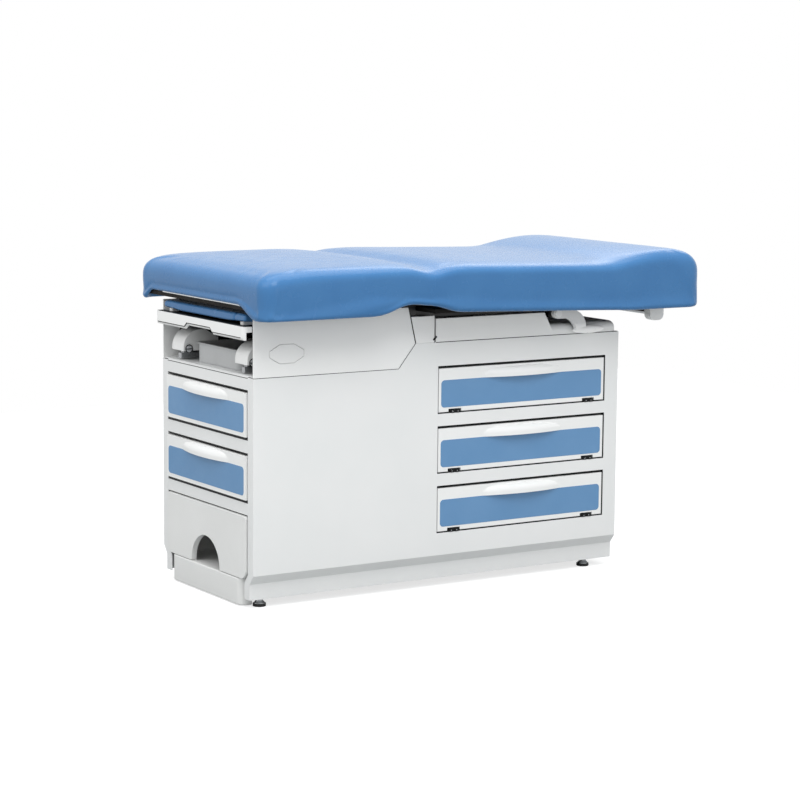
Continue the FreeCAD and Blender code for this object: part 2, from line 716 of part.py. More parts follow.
def side_drawers():
    glides = []
    face = half - dim.front_recess
    front_x = (side_bay[0] + dim.front_gap, side_bay[1] - dim.front_gap)
    middle_x = (side_bay[0] + side_bay[1]) / 2
    insert_x = (side_bay[0] + dim.insert_end, side_bay[1] - dim.insert_end)
    for i, low in enumerate(side_bays, start=1):
        front_z = (low + dim.front_gap, low + dim.side_bay_height - dim.front_gap_top)
        insert_z = (low + dim.insert_bottom, low + dim.insert_bottom + dim.insert_height)
        insert = rounded_rect(insert_x, insert_z, dim.insert_round)
        lip = (middle_x, insert_z[1])
        glide_top = low + dim.glide_height
        notch_z = (low, glide_top + dim.sheet_wall)
        notches = [
            rect((x - dim.front_gap, x + dim.glide_length + dim.front_gap), notch_z)
            for x in glide_starts
        ]
        fronts = []
        inserts = []
        for side_name, side in SIDES.items():
            span = on_side(side, face - dim.front_thick, face)
            name = f"side_front_{i}_{side_name}"
            fronts.append(pull_front(name, "XZ", span, rect(front_x, front_z), lip, insert, side, notches))
            inserts.append(insert_plate(f"side_insert_{i}_{side_name}", "XZ", insert, face * side, side))
            for x in glide_starts:
                glides.append(box((x, x + dim.glide_length), on_side(side, half - dim.glide_depth, half),
                                  (low, glide_top)))
        group(f"side_drawer_{i}_fronts", fronts)
        group(f"side_drawer_{i}_inserts", inserts)
        tray_x = (side_bay[0] + dim.tray_inset, side_bay[1] - dim.tray_inset)
        tray_z = (glide_top + dim.slide_gap, glide_top + dim.slide_gap + dim.tray_height)
        node(f"side_drawer_{i}_tray", open_tray(tray_x, mirror_span(face - dim.front_thick), tray_z))
    group("drawer_glides", glides)


def rail_pair(level):
    """Grooved rails beside a foot-end drawer or the step."""
    rails = []
    for side in SIDES.values():
        rail = box(
            (foot + dim.runner_start - dim.rail_lead, partition_x),
            on_side(side, rail_half, stile),
            (level - dim.rail_height / 2, level + dim.rail_height / 2),
        )
        groove = box(
            (foot, partition_x - dim.rail_depth),
            on_side(side, rail_half - CUT_ROOM, rail_half + dim.groove_depth),
            (level - dim.groove_height / 2, level + dim.groove_height / 2),
        )
        rails.append(cut(rail, groove))
    return rails


def runners(level, inner_half, rear):
    """Strips on a drawer's or the step's sides that run in the grooves."""
    outer = rail_half + dim.groove_depth - dim.slide_gap
    reach = dim.groove_height / 2 - dim.slide_gap
    x_span = (foot + dim.runner_start, rear)
    z_span = (level - reach, level + reach)
    return [box(x_span, on_side(side, inner_half, outer), z_span) for side in SIDES.values()]


def foot_drawers():
    rails = []
    face = foot - dim.foot_front_proud
    front_y = mirror_span(stile - dim.front_gap)
    back_face = face + dim.front_thick
    tray_x = (back_face, partition_x - dim.foot_tray_rear)
    tray_half = rail_half - dim.foot_tray_room
    for i, low in enumerate(foot_bays, start=1):
        front_z = (low + dim.foot_front_gap, low + dim.foot_bay_height - dim.front_gap_top)
        insert_low = low + dim.foot_insert_bottom
        insert_z = (insert_low, insert_low + dim.foot_insert_height)
        insert = rounded_rect(mirror_span(stile - dim.foot_insert_end), insert_z, dim.insert_round)
        lip = (as_size(0), insert_z[1])
        plate = rect(front_y, front_z)
        front = pull_front(f"foot_front_{i}", "YZ", (face, back_face), plate, lip, insert, -1, [])
        node(f"foot_drawer_{i}_front", front)
        node(f"foot_drawer_{i}_insert", insert_plate(f"foot_insert_{i}", "YZ", insert, face, -1))
        tray_z = (low + dim.glide_height, low + dim.glide_height + dim.tray_height)
        level = low + dim.runner_level
        tray = open_tray(tray_x, mirror_span(tray_half), tray_z)
        strips = runners(level, tray_half, partition_x - dim.rail_depth - dim.runner_rear)
        node(f"foot_drawer_{i}_tray", join(tray, *strips))
        rails += rail_pair(level)
    rails += rail_pair(dim.step_rail_level)
    group("foot_rails", rails)


def step():
    """Pull-out step: arched shell on a floor base, with a tread mat."""
    wall = dim.step_wall
    face = foot - dim.foot_front_proud
    behind = foot + dim.step_skin
    rear = foot + dim.step_depth
    body = new_body("step_core")
    front_top = dim.step_top - dim.front_gap
    front = rect(mirror_span(stile - dim.front_gap), (dim.step_bottom, front_top))
    pad(body, "YZ", [front], (face, behind))
    soften(body, dim.step_front_round,
           lambda edge: runs_along(edge, "x") and near(middle(edge).z, dim.step_bottom))
    soften(body, dim.step_brow_round,
           lambda edge: runs_along(edge, "x") and near(middle(edge).z, front_top))
    pad(body, "YZ", [rect(mirror_span(step_half), (dim.base_top, dim.step_roof))], (behind, rear))
    hollow = rect((behind + wall, rear - wall), mirror_span(step_half - wall))
    pocket(body, "XY", [hollow], (dim.base_top - CUT_ROOM, dim.step_roof - wall))
    arch = Round((0, dim.step_bottom), dim.arch_radius)
    pocket(body, "YZ", [arch], (face - CUT_ROOM, behind + wall))
    strips = runners(dim.step_rail_level, step_half, rear)
    node("step_shell", join(body, *strips))

    base = new_body("step_base")
    base_front = face - dim.base_proud
    base_rear = foot + dim.base_depth - CUT_ROOM
    skirt = rect((base_front, base_rear), mirror_span(step_half))
    pad(base, "XY", [skirt], (dim.base_bottom, dim.base_top))
    soften(base, dim.base_round, lambda edge: runs_along(edge, "z") and near(middle(edge).x, base_front))
    floor = rect((base_rear, rear), mirror_span(step_half))
    pad(base, "XY", [floor], (dim.base_top - dim.base_floor, dim.base_top))
    node("step_base", base)

    tread_x = (foot + dim.tread_inset, rear - dim.tread_inset)
    tread_z = (dim.step_roof, dim.step_roof + dim.tread_thick)
    tread = box(tread_x, mirror_span(step_half - dim.tread_inset), tread_z)
    node("step_tread", tread)


def leg_rest():
    """Front bar with a finger notch and a stepped lower edge, and the padded board behind it."""
    front = new_body("legrest_front")
    front_x = (foot - dim.legrest_reach, foot)
    bar = rect(front_x, mirror_span(half - dim.legrest_inset))
    pad(front, "XY", [bar], (dim.legrest_bottom, dim.legrest_top))
    soften(front, dim.legrest_round,
           lambda edge: runs_along(edge, "z") and near(middle(edge).x, front_x[0]))
    mouth_half = dim.notch_half + dim.notch_slope
    notch_right = [
        (mouth_half, dim.legrest_bottom - CUT_ROOM),
        (mouth_half, dim.legrest_bottom),
        (dim.notch_half, dim.legrest_bottom + dim.notch_height),
    ]
    notch = notch_right + mirrored(notch_right[::-1], -1)
    pocket(front, "YZ", [notch], (front_x[0] - CUT_ROOM, front_x[1] + CUT_ROOM))
    lip_low = dim.legrest_bottom + dim.legrest_lip
    lip_right = [
        (half, dim.legrest_bottom - CUT_ROOM),
        (half, lip_low),
        (mouth_half, lip_low),
        (dim.notch_half, lip_low + dim.notch_height),
    ]
    step_back = lip_right + mirrored(lip_right[::-1], -1)
    pocket(front, "YZ", [step_back], (front_x[0] - CUT_ROOM, front_x[0] + dim.legrest_lip_depth))
    flange_low = dim.legrest_top - dim.legrest_flange
    under_flange = rect(mirror_span(half), (dim.legrest_bottom - CUT_ROOM, flange_low))
    pocket(front, "YZ", [under_flange], (front_x[0] + dim.legrest_plate, front_x[1] + CUT_ROOM))
    node("legrest_front", front)
    board_low = dim.legrest_top - dim.legrest_board
    rear = foot + dim.legrest_board_length
    board = box((foot, rear), mirror_span(legrest_board_half), (board_low, dim.legrest_top))
    node("legrest_board", board)
    cushion = new_body("legrest_pad")
    pad_x = (foot - dim.legrest_reach / 2, rear)
    cover = rect(pad_x, mirror_span(legrest_pad_half))
    pad(cushion, "XY", [cover], (dim.legrest_top, dim.legrest_pad_top))
    soften(cushion, dim.legrest_pad_round, lambda edge: is_top_edge(edge, dim.legrest_pad_top))
    node("legrest_pad", cushion)
    guides = []
    guide_x = (foot + dim.runner_start, hinge_x - dim.hinge_boss - CUT_ROOM)
    shelf_top = board_low - dim.slide_gap
    for side in SIDES.values():
        shelf = box(guide_x, on_side(side, legrest_board_half - dim.guide_lap, plate_half),
                    (shelf_top - dim.cover_wall, shelf_top))
        web = box((foot + dim.seat_plate_start, guide_x[1]),
                  on_side(side, plate_half - dim.cover_wall, plate_half),
                  (shelf_top - dim.guide_drop, shelf_top))
        guides.append(join(shelf, web))
    group("legrest_guides", guides)


def stirrups():
    """Two bars in guides on the deck, each with a heel cup that tilts on its screw."""
    guides = []
    bar_top = dim.bar_level + dim.bar_side
    bar_x = (foot + dim.bar_start, foot + dim.bar_start + dim.bar_length)
    guide_x = (foot + dim.bar_guide_start, foot + dim.bar_guide_start + dim.bar_guide_length)
    screw = (foot + dim.cup_screw_place, dim.cup_screw_level)
    for name, side in SIDES.items():
        centre = stirrup_half * side
        bar_y = (centre - dim.bar_wide / 2, centre + dim.bar_wide / 2)
        bar = box(bar_x, bar_y, (dim.bar_level, bar_top))
        stem = box((screw[0] - dim.stem_before, screw[0] + dim.bar_wide / 2), bar_y, (bar_top, screw[1]))
        boss = rod("y", screw, bar_y, dim.spring_eye)
        cup_y = (centre - dim.cup_half, centre + dim.cup_half)
        pin = rod("y", screw, (cup_y[0] - dim.cup_wall, cup_y[1]), dim.cup_screw_radius)
        screw_head = rod("y", screw, (cup_y[0] - dim.cup_wall, cup_y[0] - dim.slide_gap), dim.spring_eye)
        node(f"stirrup_{name}_bar", join(bar, stem, boss, pin, screw_head))

        gap = dim.slide_gap
        block = box(guide_x, (bar_y[0] - dim.bar_guide_wall, bar_y[1] + dim.bar_guide_wall),
                    (deck_top, bar_top + dim.bar_guide_wall))
        bore = box((guide_x[0] - CUT_ROOM, guide_x[1] + CUT_ROOM), (bar_y[0] - gap, bar_y[1] + gap),
                   (dim.bar_level - gap, bar_top + gap))
        guides.append(cut(block, bore))
        node(f"stirrup_{name}_cup", heel_cup(f"stirrup_{name}_cup", cup_y, screw))
    group("stirrup_guides", guides)


def heel_cup(name, cup_y, screw):
    """Fender-shaped shell, open below and behind."""
    cup = new_body(name)
    front = foot + dim.cup_place
    rear = front + dim.cup_length
    wall = dim.cup_wall
    crown = front + dim.cup_round
    rear_top = dim.cup_top - dim.cup_rear_drop
    outline = [
        (front, dim.cup_bottom),
        (front + dim.cup_sole, dim.cup_bottom),
        (rear, dim.cup_bottom + dim.cup_rear_rise),
        (rear, rear_top),
        (crown + dim.cup_flat, dim.cup_top),
        (crown, dim.cup_top, dim.cup_round),
        (front, dim.cup_top - dim.cup_round),
    ]
    pad(cup, "XZ", [outline], cup_y)
    hollow = [
        (front + wall, dim.cup_bottom - CUT_ROOM),
        (rear + CUT_ROOM, dim.cup_bottom - CUT_ROOM),
        (rear + CUT_ROOM, rear_top - wall - CUT_ROOM),
        (crown + dim.cup_flat, dim.cup_top - wall),
        (crown, dim.cup_top - wall, dim.cup_round - wall),
        (front + wall, dim.cup_top - dim.cup_round),
    ]
    pocket(cup, "XZ", [hollow], (cup_y[0] + wall, cup_y[1] - wall))
    hole = Round(screw, dim.cup_screw_radius + dim.running_fit)
    pocket(cup, "XZ", [hole], (cup_y[0] - CUT_ROOM, cup_y[1] + CUT_ROOM))
    return cup


def pan():
    """Treatment pan on the deck between the stirrups."""
    body = new_body("pan")
    wall = dim.pan_wall
    low = deck_top + dim.slide_gap
    pan_half = stirrup_half - dim.cup_half - dim.pan_gap

    def ring(grow):
        x_span = (foot + dim.pan_start - grow, foot + dim.pan_start + dim.pan_length + grow)
        return rounded_rect(x_span, mirror_span(pan_half + grow), dim.pan_round + grow)

    pad(body, "XY", [ring(as_size(0))], (low, dim.pan_top))
    pad(body, "XY", [ring(dim.pan_rim)], (dim.pan_top - wall, dim.pan_top))
    pocket(body, "XY", [ring(-wall)], (low + wall, dim.pan_top + CUT_ROOM))
    node("pan", body)


shaft = (hinge_x + dim.shaft_place, dim.shaft_level)
back_board_end = top_head - dim.skirt_wall
paper = (back_board_end - dim.paper_inset, dim.paper_level)


def back_rest():
    """Board, hinged steel frame with the gas spring's upper fork, and the paper bar in its brackets."""
    under = dim.back_board_level
    board_x = (hinge_x + dim.back_board_gap, back_board_end)
    node("back_board", box(board_x, mirror_span(board_half), (under, back_board_top)))

    low = under - dim.leaf_drop
    leaf_end = paper[0] - dim.paper_bracket_before - dim.leaf_rear
    leaves = []
    bores = []
    for name, side in SIDES.items():
        leaf = new_body("leaf_" + name)
        outline = [
            (hinge_x, hinge_z - dim.hinge_boss),
            (hinge_x + dim.leaf_throat, low),
            (leaf_end, low),
            (leaf_end, under),
            (hinge_x + dim.back_board_gap, under),
            (hinge_x, hinge_z + dim.hinge_boss),
        ]
        leaf_y = on_side(side, leaf_half, leaf_half + dim.leaf_wall)
        pad(leaf, "XZ", [outline], leaf_y)
        boss = rod("y", (hinge_x, hinge_z), leaf_y, dim.hinge_boss)
        leaf_outer = leaf_half + dim.leaf_wall
        hanger_y = on_side(side, leaf_outer, leaf_outer + dim.hanger_wide)
        hanger = box((shaft[0] - dim.hanger_length / 2, shaft[0] + dim.hanger_length / 2), hanger_y,
                     (shaft[1] - dim.hanger_length / 2, under))
        leaves += [leaf, boss, hanger]
        bores.append(rod("y", (hinge_x, hinge_z), leaf_y, dim.hinge_pin_radius + dim.running_fit))
    spread = mirror_span(leaf_half)
    reach = dim.clevis_length / 2
    bar_x = (spring_head[0] - reach, spring_head[0] + reach)
    leaves.append(box(bar_x, spread, (under - dim.clevis_wall, under)))
    for side in SIDES.values():
        cheek = on_side(side, dim.clevis_half, dim.clevis_half + dim.clevis_wall)
        leaves.append(box(bar_x, cheek, (spring_head[1] - dim.spring_eye, under)))
        stub = on_side(side, dim.spring_eye_half + dim.slide_gap, dim.clevis_half)
        leaves.append(rod("y", spring_head, stub, dim.spring_pin_radius))
    bores.append(rod("y", shaft, mirror_span(half), dim.shaft_radius + dim.running_fit))
    node("back_frame", cut(join(*leaves), *bores))

    brackets = []
    outer = dim.paper_bracket_half + dim.paper_bracket_wide
    bracket_low = dim.paper_bracket_bottom
    bracket_x = (paper[0] - dim.paper_bracket_before, paper[0] + dim.paper_bracket_after)
    corner = dim.paper_bracket_round
    knob = [
        (bracket_x[0] + corner, bracket_low),
        (bracket_x[1] - corner, bracket_low, corner),
        (bracket_x[1], bracket_low + corner),
        (bracket_x[1], under),
        (bracket_x[0], under),
        (bracket_x[0], bracket_low + corner, corner),
    ]
    for name, side in SIDES.items():
        bracket = new_body("paper_bracket_" + name)
        pad(bracket, "XZ", [knob], on_side(side, dim.paper_bracket_half, outer))
        bore_y = on_side(side, dim.paper_bracket_half - CUT_ROOM, outer - dim.lip_wall)
        pocket(bracket, "XZ", [Round(paper, dim.paper_radius + dim.running_fit)], bore_y)
        brackets.append(bracket)
    group("paper_brackets", brackets)
    bar_half = outer - dim.lip_wall - dim.slide_gap
    node("paper_bar", rod("y", paper, mirror_span(bar_half), dim.paper_radius))


def release():
    """Cross shaft with a lever and paddle at each end."""
    lever_out = lever_half + dim.lever_wide
    node("release_shaft", rod("y", shaft, mirror_span(lever_out), dim.shaft_radius))
    levers = []
    paddle = (shaft[0] + dim.paddle_place, dim.paddle_level)
    neck = paddle[0] - dim.neck_place
    for name, side in SIDES.items():
        arm = new_body("arm_" + name)
        span = on_side(side, lever_half, lever_out)
        outline = [
            (shaft[0], shaft[1] - dim.lever_hub),
            (shaft[0] + dim.arm_run / 2, shaft[1] - dim.lever_hub, -dim.arm_bend),
            (neck - dim.neck_wide, paddle[1]),
            (neck, paddle[1], dim.arm_bend),
            (shaft[0] + dim.arm_run, shaft[1] + dim.arm_rise),
            (shaft[0], shaft[1] + dim.arm_rise),
        ]
        pad(arm, "XZ", [outline], span)
        hub = rod("y", shaft, span, dim.lever_hub)
        blade = doc.addObject("Part::Ellipsoid", "blade")
        blade.setExpression("Radius1", dim.paddle_tall.text)
        blade.setExpression("Radius2", dim.paddle_half.text)
        blade.setExpression("Radius3", dim.paddle_thick.text)
        place_at(blade, (paddle[0], (lever_half + dim.lever_wide / 2) * side, paddle[1]))
        bore = rod("y", shaft, span, dim.shaft_radius + dim.running_fit)
        levers.append(cut(join(arm, hub, blade), bore))
    group("release_levers", levers)


def along_spring(distance):
    """Placement of a round piece along the gas spring at rest, measured from its lower pin."""
    rise = spring_head[1].value - spring_foot[1].value
    run = spring_head[0].value - spring_foot[0].value
    length = math.hypot(rise, run)
    direction = Vector(run / length, 0, rise / length)
    base = Vector(spring_foot[0].value, 0, spring_foot[1].value)
    return Placement(base + direction * distance, Rotation(Vector(0, 0, 1), direction)), length


def spring_tube(start, end, radius):
    piece = doc.addObject("Part::Cylinder", "tube")
    piece.Placement = along_spring(start)[0]
    piece.Height = end - start
    piece.setExpression("Radius", as_size(radius).text)
    return piece


def gas_spring():
    length = along_spring(0)[1]
    eye_y = mirror_span(dim.spring_eye_half)
    mouth = length - dim.spring_mouth.value
    eye = dim.spring_eye.value
    fit = dim.running_fit
    inner_end = eye + 2 * dim.cover_wall.value
    tube = spring_tube(eye - dim.spring_lap.value, mouth, dim.spring_radius)
    barrel = join(rod("y", spring_foot, eye_y, dim.spring_eye), tube)
    bore = spring_tube(inner_end, mouth + CUT_ROOM, dim.spring_rod_radius + fit)
    pin_bore = rod("y", spring_foot, mirror_span(dim.spring_radius), dim.spring_pin_radius + fit)
    fork_room = [
        box((spring_foot[0] - dim.clevis_length, spring_foot[0] + dim.clevis_length / 2 + CUT_ROOM),
            on_side(side, dim.spring_eye_half, dim.spring_radius + CUT_ROOM),
            (deck_top, spring_foot[1] + dim.clevis_length))
        for side in SIDES.values()
    ]
    node("gas_cylinder", cut(barrel, bore, pin_bore, *fork_room))
    stem = spring_tube(inner_end + fit.value, length, dim.spring_rod_radius)
    ring = join(stem, rod("y", spring_head, eye_y, dim.spring_eye))
    node("gas_rod", cut(ring, rod("y", spring_head, eye_y, dim.spring_pin_radius + fit)))


def levelling_feet():
    number = 1
    for x in foot_centres:
        for side in SIDES.values():
            body = new_body(f"levelling_foot_{number}")
            centre = (x, (half - dim.foot_inset) * side)
            pad(body, "XY", [Round(centre, dim.foot_radius)], (as_size(0), dim.foot_height))
            pad(body, "XY", [Round(centre, dim.collar_radius)], (dim.foot_height, dim.collar_height))
            pad(body, "XY", [Round(centre, dim.stud_radius)], (dim.collar_height, dim.stud_height))
            node(f"levelling_foot_{number}", body)
            number += 1


def build():
    for name, side in SIDES.items():
        side_panel(name, side)
    foot_frame()
    cabinet_plates()
    deck_plate()
    side_covers()
    top_shroud()
    seat_supports()
    cushions()
    side_drawers()
    foot_drawers()
    step()
    leg_rest()
    stirrups()
    pan()
    back_rest()
    release()
    gas_spring()
    levelling_feet()
    doc.recompute()


def write_parts():
    for item in doc.Objects:
        if "Invalid" in item.State or "Error" in item.State:
            raise RuntimeError(f"{item.Label} failed: {item.State}")
    for piece in nodes:
        if piece.Shape.isNull() or not piece.Shape.isValid():
            raise RuntimeError(f"{piece.Label} has no valid shape")
    os.makedirs("parts", exist_ok=True)
    for piece in nodes:
        piece.Shape.exportStep(f"parts/{piece.Label}.step")


build()
write_parts()
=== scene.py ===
import json
import math

import bpy
import numpy as np
from mathutils import Matrix, Vector


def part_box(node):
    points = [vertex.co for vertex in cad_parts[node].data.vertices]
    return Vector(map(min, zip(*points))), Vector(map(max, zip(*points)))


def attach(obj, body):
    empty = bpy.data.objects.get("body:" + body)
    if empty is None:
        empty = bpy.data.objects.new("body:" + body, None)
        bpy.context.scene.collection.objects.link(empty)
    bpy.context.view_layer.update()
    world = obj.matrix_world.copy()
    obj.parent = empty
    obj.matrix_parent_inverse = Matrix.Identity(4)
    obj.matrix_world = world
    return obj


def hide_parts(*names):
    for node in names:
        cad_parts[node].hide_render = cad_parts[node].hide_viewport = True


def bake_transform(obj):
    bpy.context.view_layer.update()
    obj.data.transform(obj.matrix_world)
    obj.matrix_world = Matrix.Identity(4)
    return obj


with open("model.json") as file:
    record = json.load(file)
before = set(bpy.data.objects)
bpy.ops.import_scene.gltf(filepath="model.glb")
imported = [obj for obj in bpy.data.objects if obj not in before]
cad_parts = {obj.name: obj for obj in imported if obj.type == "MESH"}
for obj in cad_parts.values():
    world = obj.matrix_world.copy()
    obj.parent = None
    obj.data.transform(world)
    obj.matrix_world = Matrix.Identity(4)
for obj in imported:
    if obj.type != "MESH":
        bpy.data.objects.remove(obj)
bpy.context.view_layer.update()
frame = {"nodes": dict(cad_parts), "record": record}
nodes = frame["nodes"]
scene = bpy.context.scene

# Sizes are in metres. X runs from the foot end to the head end, Y from the near side to the far side,
# and Z up from the floor.

# Upholstered top. Levels are (x, z) points along it, and the cloth swells by up to SWELL.
TOP_HALF_LENGTH = 0.668
TOP_HALF_WIDTH = 0.342
TOP_CORNER = 0.042
TOP_LEVELS = [
    (-0.668, 0.8260), (-0.600, 0.8332), (-0.540, 0.8368), (-0.300, 0.8383), (-0.244, 0.8370),
    (-0.205, 0.8285), (-0.184, 0.8240), (-0.163, 0.8285), (-0.125, 0.8360), (-0.076, 0.8370),
    (0.060, 0.8325), (0.154, 0.8300), (0.243, 0.8275), (0.340, 0.8255), (0.380, 0.8275),
    (0.424, 0.8365), (0.470, 0.8435), (0.517, 0.8485), (0.560, 0.8505), (0.611, 0.8485),
    (0.645, 0.8435), (0.668, 0.8330),
]
HEM_LEVELS = [
    (-0.668, 0.715), (-0.345, 0.715), (-0.316, 0.720), (-0.296, 0.727), (-0.276, 0.736), (-0.256, 0.740),
    (-0.235, 0.741), (-0.215, 0.738), (-0.174, 0.734), (-0.153, 0.729), (-0.132, 0.722), (-0.108, 0.716),
    (0.123, 0.708), (0.344, 0.700), (0.435, 0.696), (0.668, 0.695),
]
UNDERSIDE_LEVELS = [(-0.668, 0.7475), (-0.110, 0.7475), (-0.060, 0.7245), (0.668, 0.7245)]
LEVEL_EASING = 0.016
CROWN = 0.006
SWELL = 0.004
CLOTH_PRESSURE = 4.0

# Rolled upper edge of the top: how far it drops, as (x, drop) points, and how far it reaches in.
EDGE_ROLLS = [
    (-0.668, 0.040), (-0.500, 0.031), (-0.100, 0.024), (0.300, 0.024), (0.520, 0.032), (0.668, 0.046),
]
SIDE_ROLL_REACH = 0.032
HEAD_ROLL_REACH = 0.046
ROLL_REACHES = (SIDE_ROLL_REACH, HEAD_ROLL_REACH)
ROLL_ANGLES = np.radians(np.linspace(12, 90, 8))
ROLL_IN_POWER = 1.15
ROLL_UP_POWER = 0.95

# Corner radius of the top's rings: it shrinks over the roll and grows further in, up to a share of the
# ring's half width. The innermost rings close on a narrow spine.
CORNER_SHRINK = 0.4
CORNER_GROWTH = 0.8
CORNER_MOST = 0.9
SPINE_HALF = 0.014
CROWN_SHARES = np.linspace(0.04, 1, 24)

# Skirt of the top. The hem turns under in rows of inset, inset at the foot end, and lift.
WALL_START = 0.016
WALL_INSET = 0.0008
WALL_TAPER = 0.0022
WALL_SHARES = np.linspace(0, 1, 8)
HEM_ROWS = (
    (0.029, 0.012, 0.003), (0.024, 0.011, 0.0005), (0.014, 0.010, 0),
    (0.008, 0.007, 0.0015), (0.0045, 0.0045, 0.005), (0.003, 0.003, 0.010),
)
SKIRT = 0.031
FOOT_SKIRT = 0.013
SKIRT_LIFT = 0.006
SKIRT_SHARES = (0, 0.4, 0.8)
UNDERSIDE_INSETS = (0.25, 0.17, 0.10, 0.06)

# The far side's hem is higher towards the foot end, and the foot-end hem arches over the leg rest.
FAR_HEM_LIFT = 0.007
FAR_HEM_EASE_Y = (0.1, 0.3)
FAR_HEM_EASE_X = (0.25, 0.45)
FOOT_HEM = 0.748
FOOT_ARCH_NEAR = (0.195, 0.290)
FOOT_ARCH_FAR = (0.262, 0.305)
FOOT_FACE = -0.600
HEM_BINDING_HALF = 0.205

# Leg-rest pad, which swells by up to PAD_SWELL and has one sewn seam across it.
PAD_SPACER = 0.006
PAD_SWELL = 0.002
PAD_EDGE = 0.006
PAD_CORNER = 0.007
PAD_CORNER_SHRINK = 0.5
PAD_CORNER_LEAST = 0.004
PAD_SPINE_HALF = 0.012
PAD_FRONT = 0.06
PAD_END_LIFT = 0.004
PAD_END_EASE = (0.11, 0.20)
PAD_UNDER_INSETS = (0.12, 0.06, 0.03)
PAD_RIM_INSETS = (0.014, 0.022, 0.032, 0.042)
PAD_MIDDLE_INSET = 0.076
PAD_SEAM = -0.162
PAD_SEAM_REACH = 0.009
PAD_SEAM_DEPTH = 0.0025
PAD_SEAM_WIDTH = 0.004

# Release paddles, with the levels where painted light on the paddles turns to painted shade on the arms, and
# heel-cup screws.
PADDLE_SHADE_RISE = (0.652, 0.662)
CUP_SCREW = Vector((-0.620, 0, 0.605))
CUP_SCREW_FACES = {"near": -0.2045, "far": 0.1335}

# Steel cup of a levelling foot, as (radius, level) points, and its six-sided lock nut.
FOOT_CUP = ((0.0150, 0.0076), (0.0152, 0.0086), (0.0120, 0.0108), (0.0096, 0.0140), (0.0090, 0.0142))
FOOT_NUT_RADIUS = 0.0098
FOOT_NUT_SPAN = (0.0142, 0.0208)

# Drawer glides in the side bays.
SIDE_BAYS = 3
SIDE_BAY_PITCH = 0.1535
GLIDE_TOP = 0.458
GLIDE_STARTS = (-0.071, 0.349)
GLIDE_FACE = 0.241
GLIDE_CLIPS = (0.008, 0.024)

# Gaps round the drawer fronts, the black strips of painted shade in them, and lines of painted shade on the
# leg-rest bar and side covers.
SIDE_GAP = 0.0035
SIDE_GAP_TOP = 0.007
SIDE_SHADE_STRIP = (0.2270, 0.2355)
SIDE_SHADE_STRIP_FLUSH = 0.2402
FOOT_GAP = 0.008
FOOT_GAP_TOP = 0.007
FOOT_SHADE_STRIP = (-0.6392, -0.622)
FOOT_SHADE_STRIP_HALF = 0.2135
SHADE_STRIP_ROUNDING = 0.001
DECK_SEAM = (0.5685, 0.5700)
LINE_PROUD = 0.0003
LINE_SUNK = 0.002
BAR_LINE = (
    (-0.222, 0.0060), (-0.074, 0.0060), (-0.062, 0.0160), (0.062, 0.0160), (0.074, 0.0060), (0.222, 0.0060),
)
BAR_LINE_HALF = 0.0010
COVER_SHOULDER = (0.049, 0.061)
COVER_SEAM_SHADE_HALF = 0.0007

# Studio.
FLOOR_REACH = 3.2
FLOOR_GLOW = 0.72
AMBIENT = 0.74


def smooth_step(value, low, high):
    """Share that eases from 0 at low to 1 at high."""
    share = np.clip((value - low) / (high - low), 0, 1)
    return share * share * (3 - 2 * share)


def eased(levels, x, samples=9):
    """Level at x along a line of points, with its corners eased."""
    at, level = np.array(levels).T
    shifts = np.linspace(-LEVEL_EASING, LEVEL_EASING, samples)
    return np.mean([np.interp(x + shift, at, level) for shift in shifts], axis=0)


# Materials. Most of a noise texture's values lie in NOISE_SPREAD.
NOISE_SPREAD = (0.3, 0.7)
NOISE_DETAIL = 3.0
FINE_DETAIL = 1.0


def linear(code):
    """Colour of a six-digit code such as 4F80B8, as the shader wants it."""
    parts = [int(code[i:i + 2], 16) / 255 for i in (0, 2, 4)]
    return (*(p / 12.92 if p <= 0.04045 else ((p + 0.055) / 1.055) ** 2.4 for p in parts), 1)


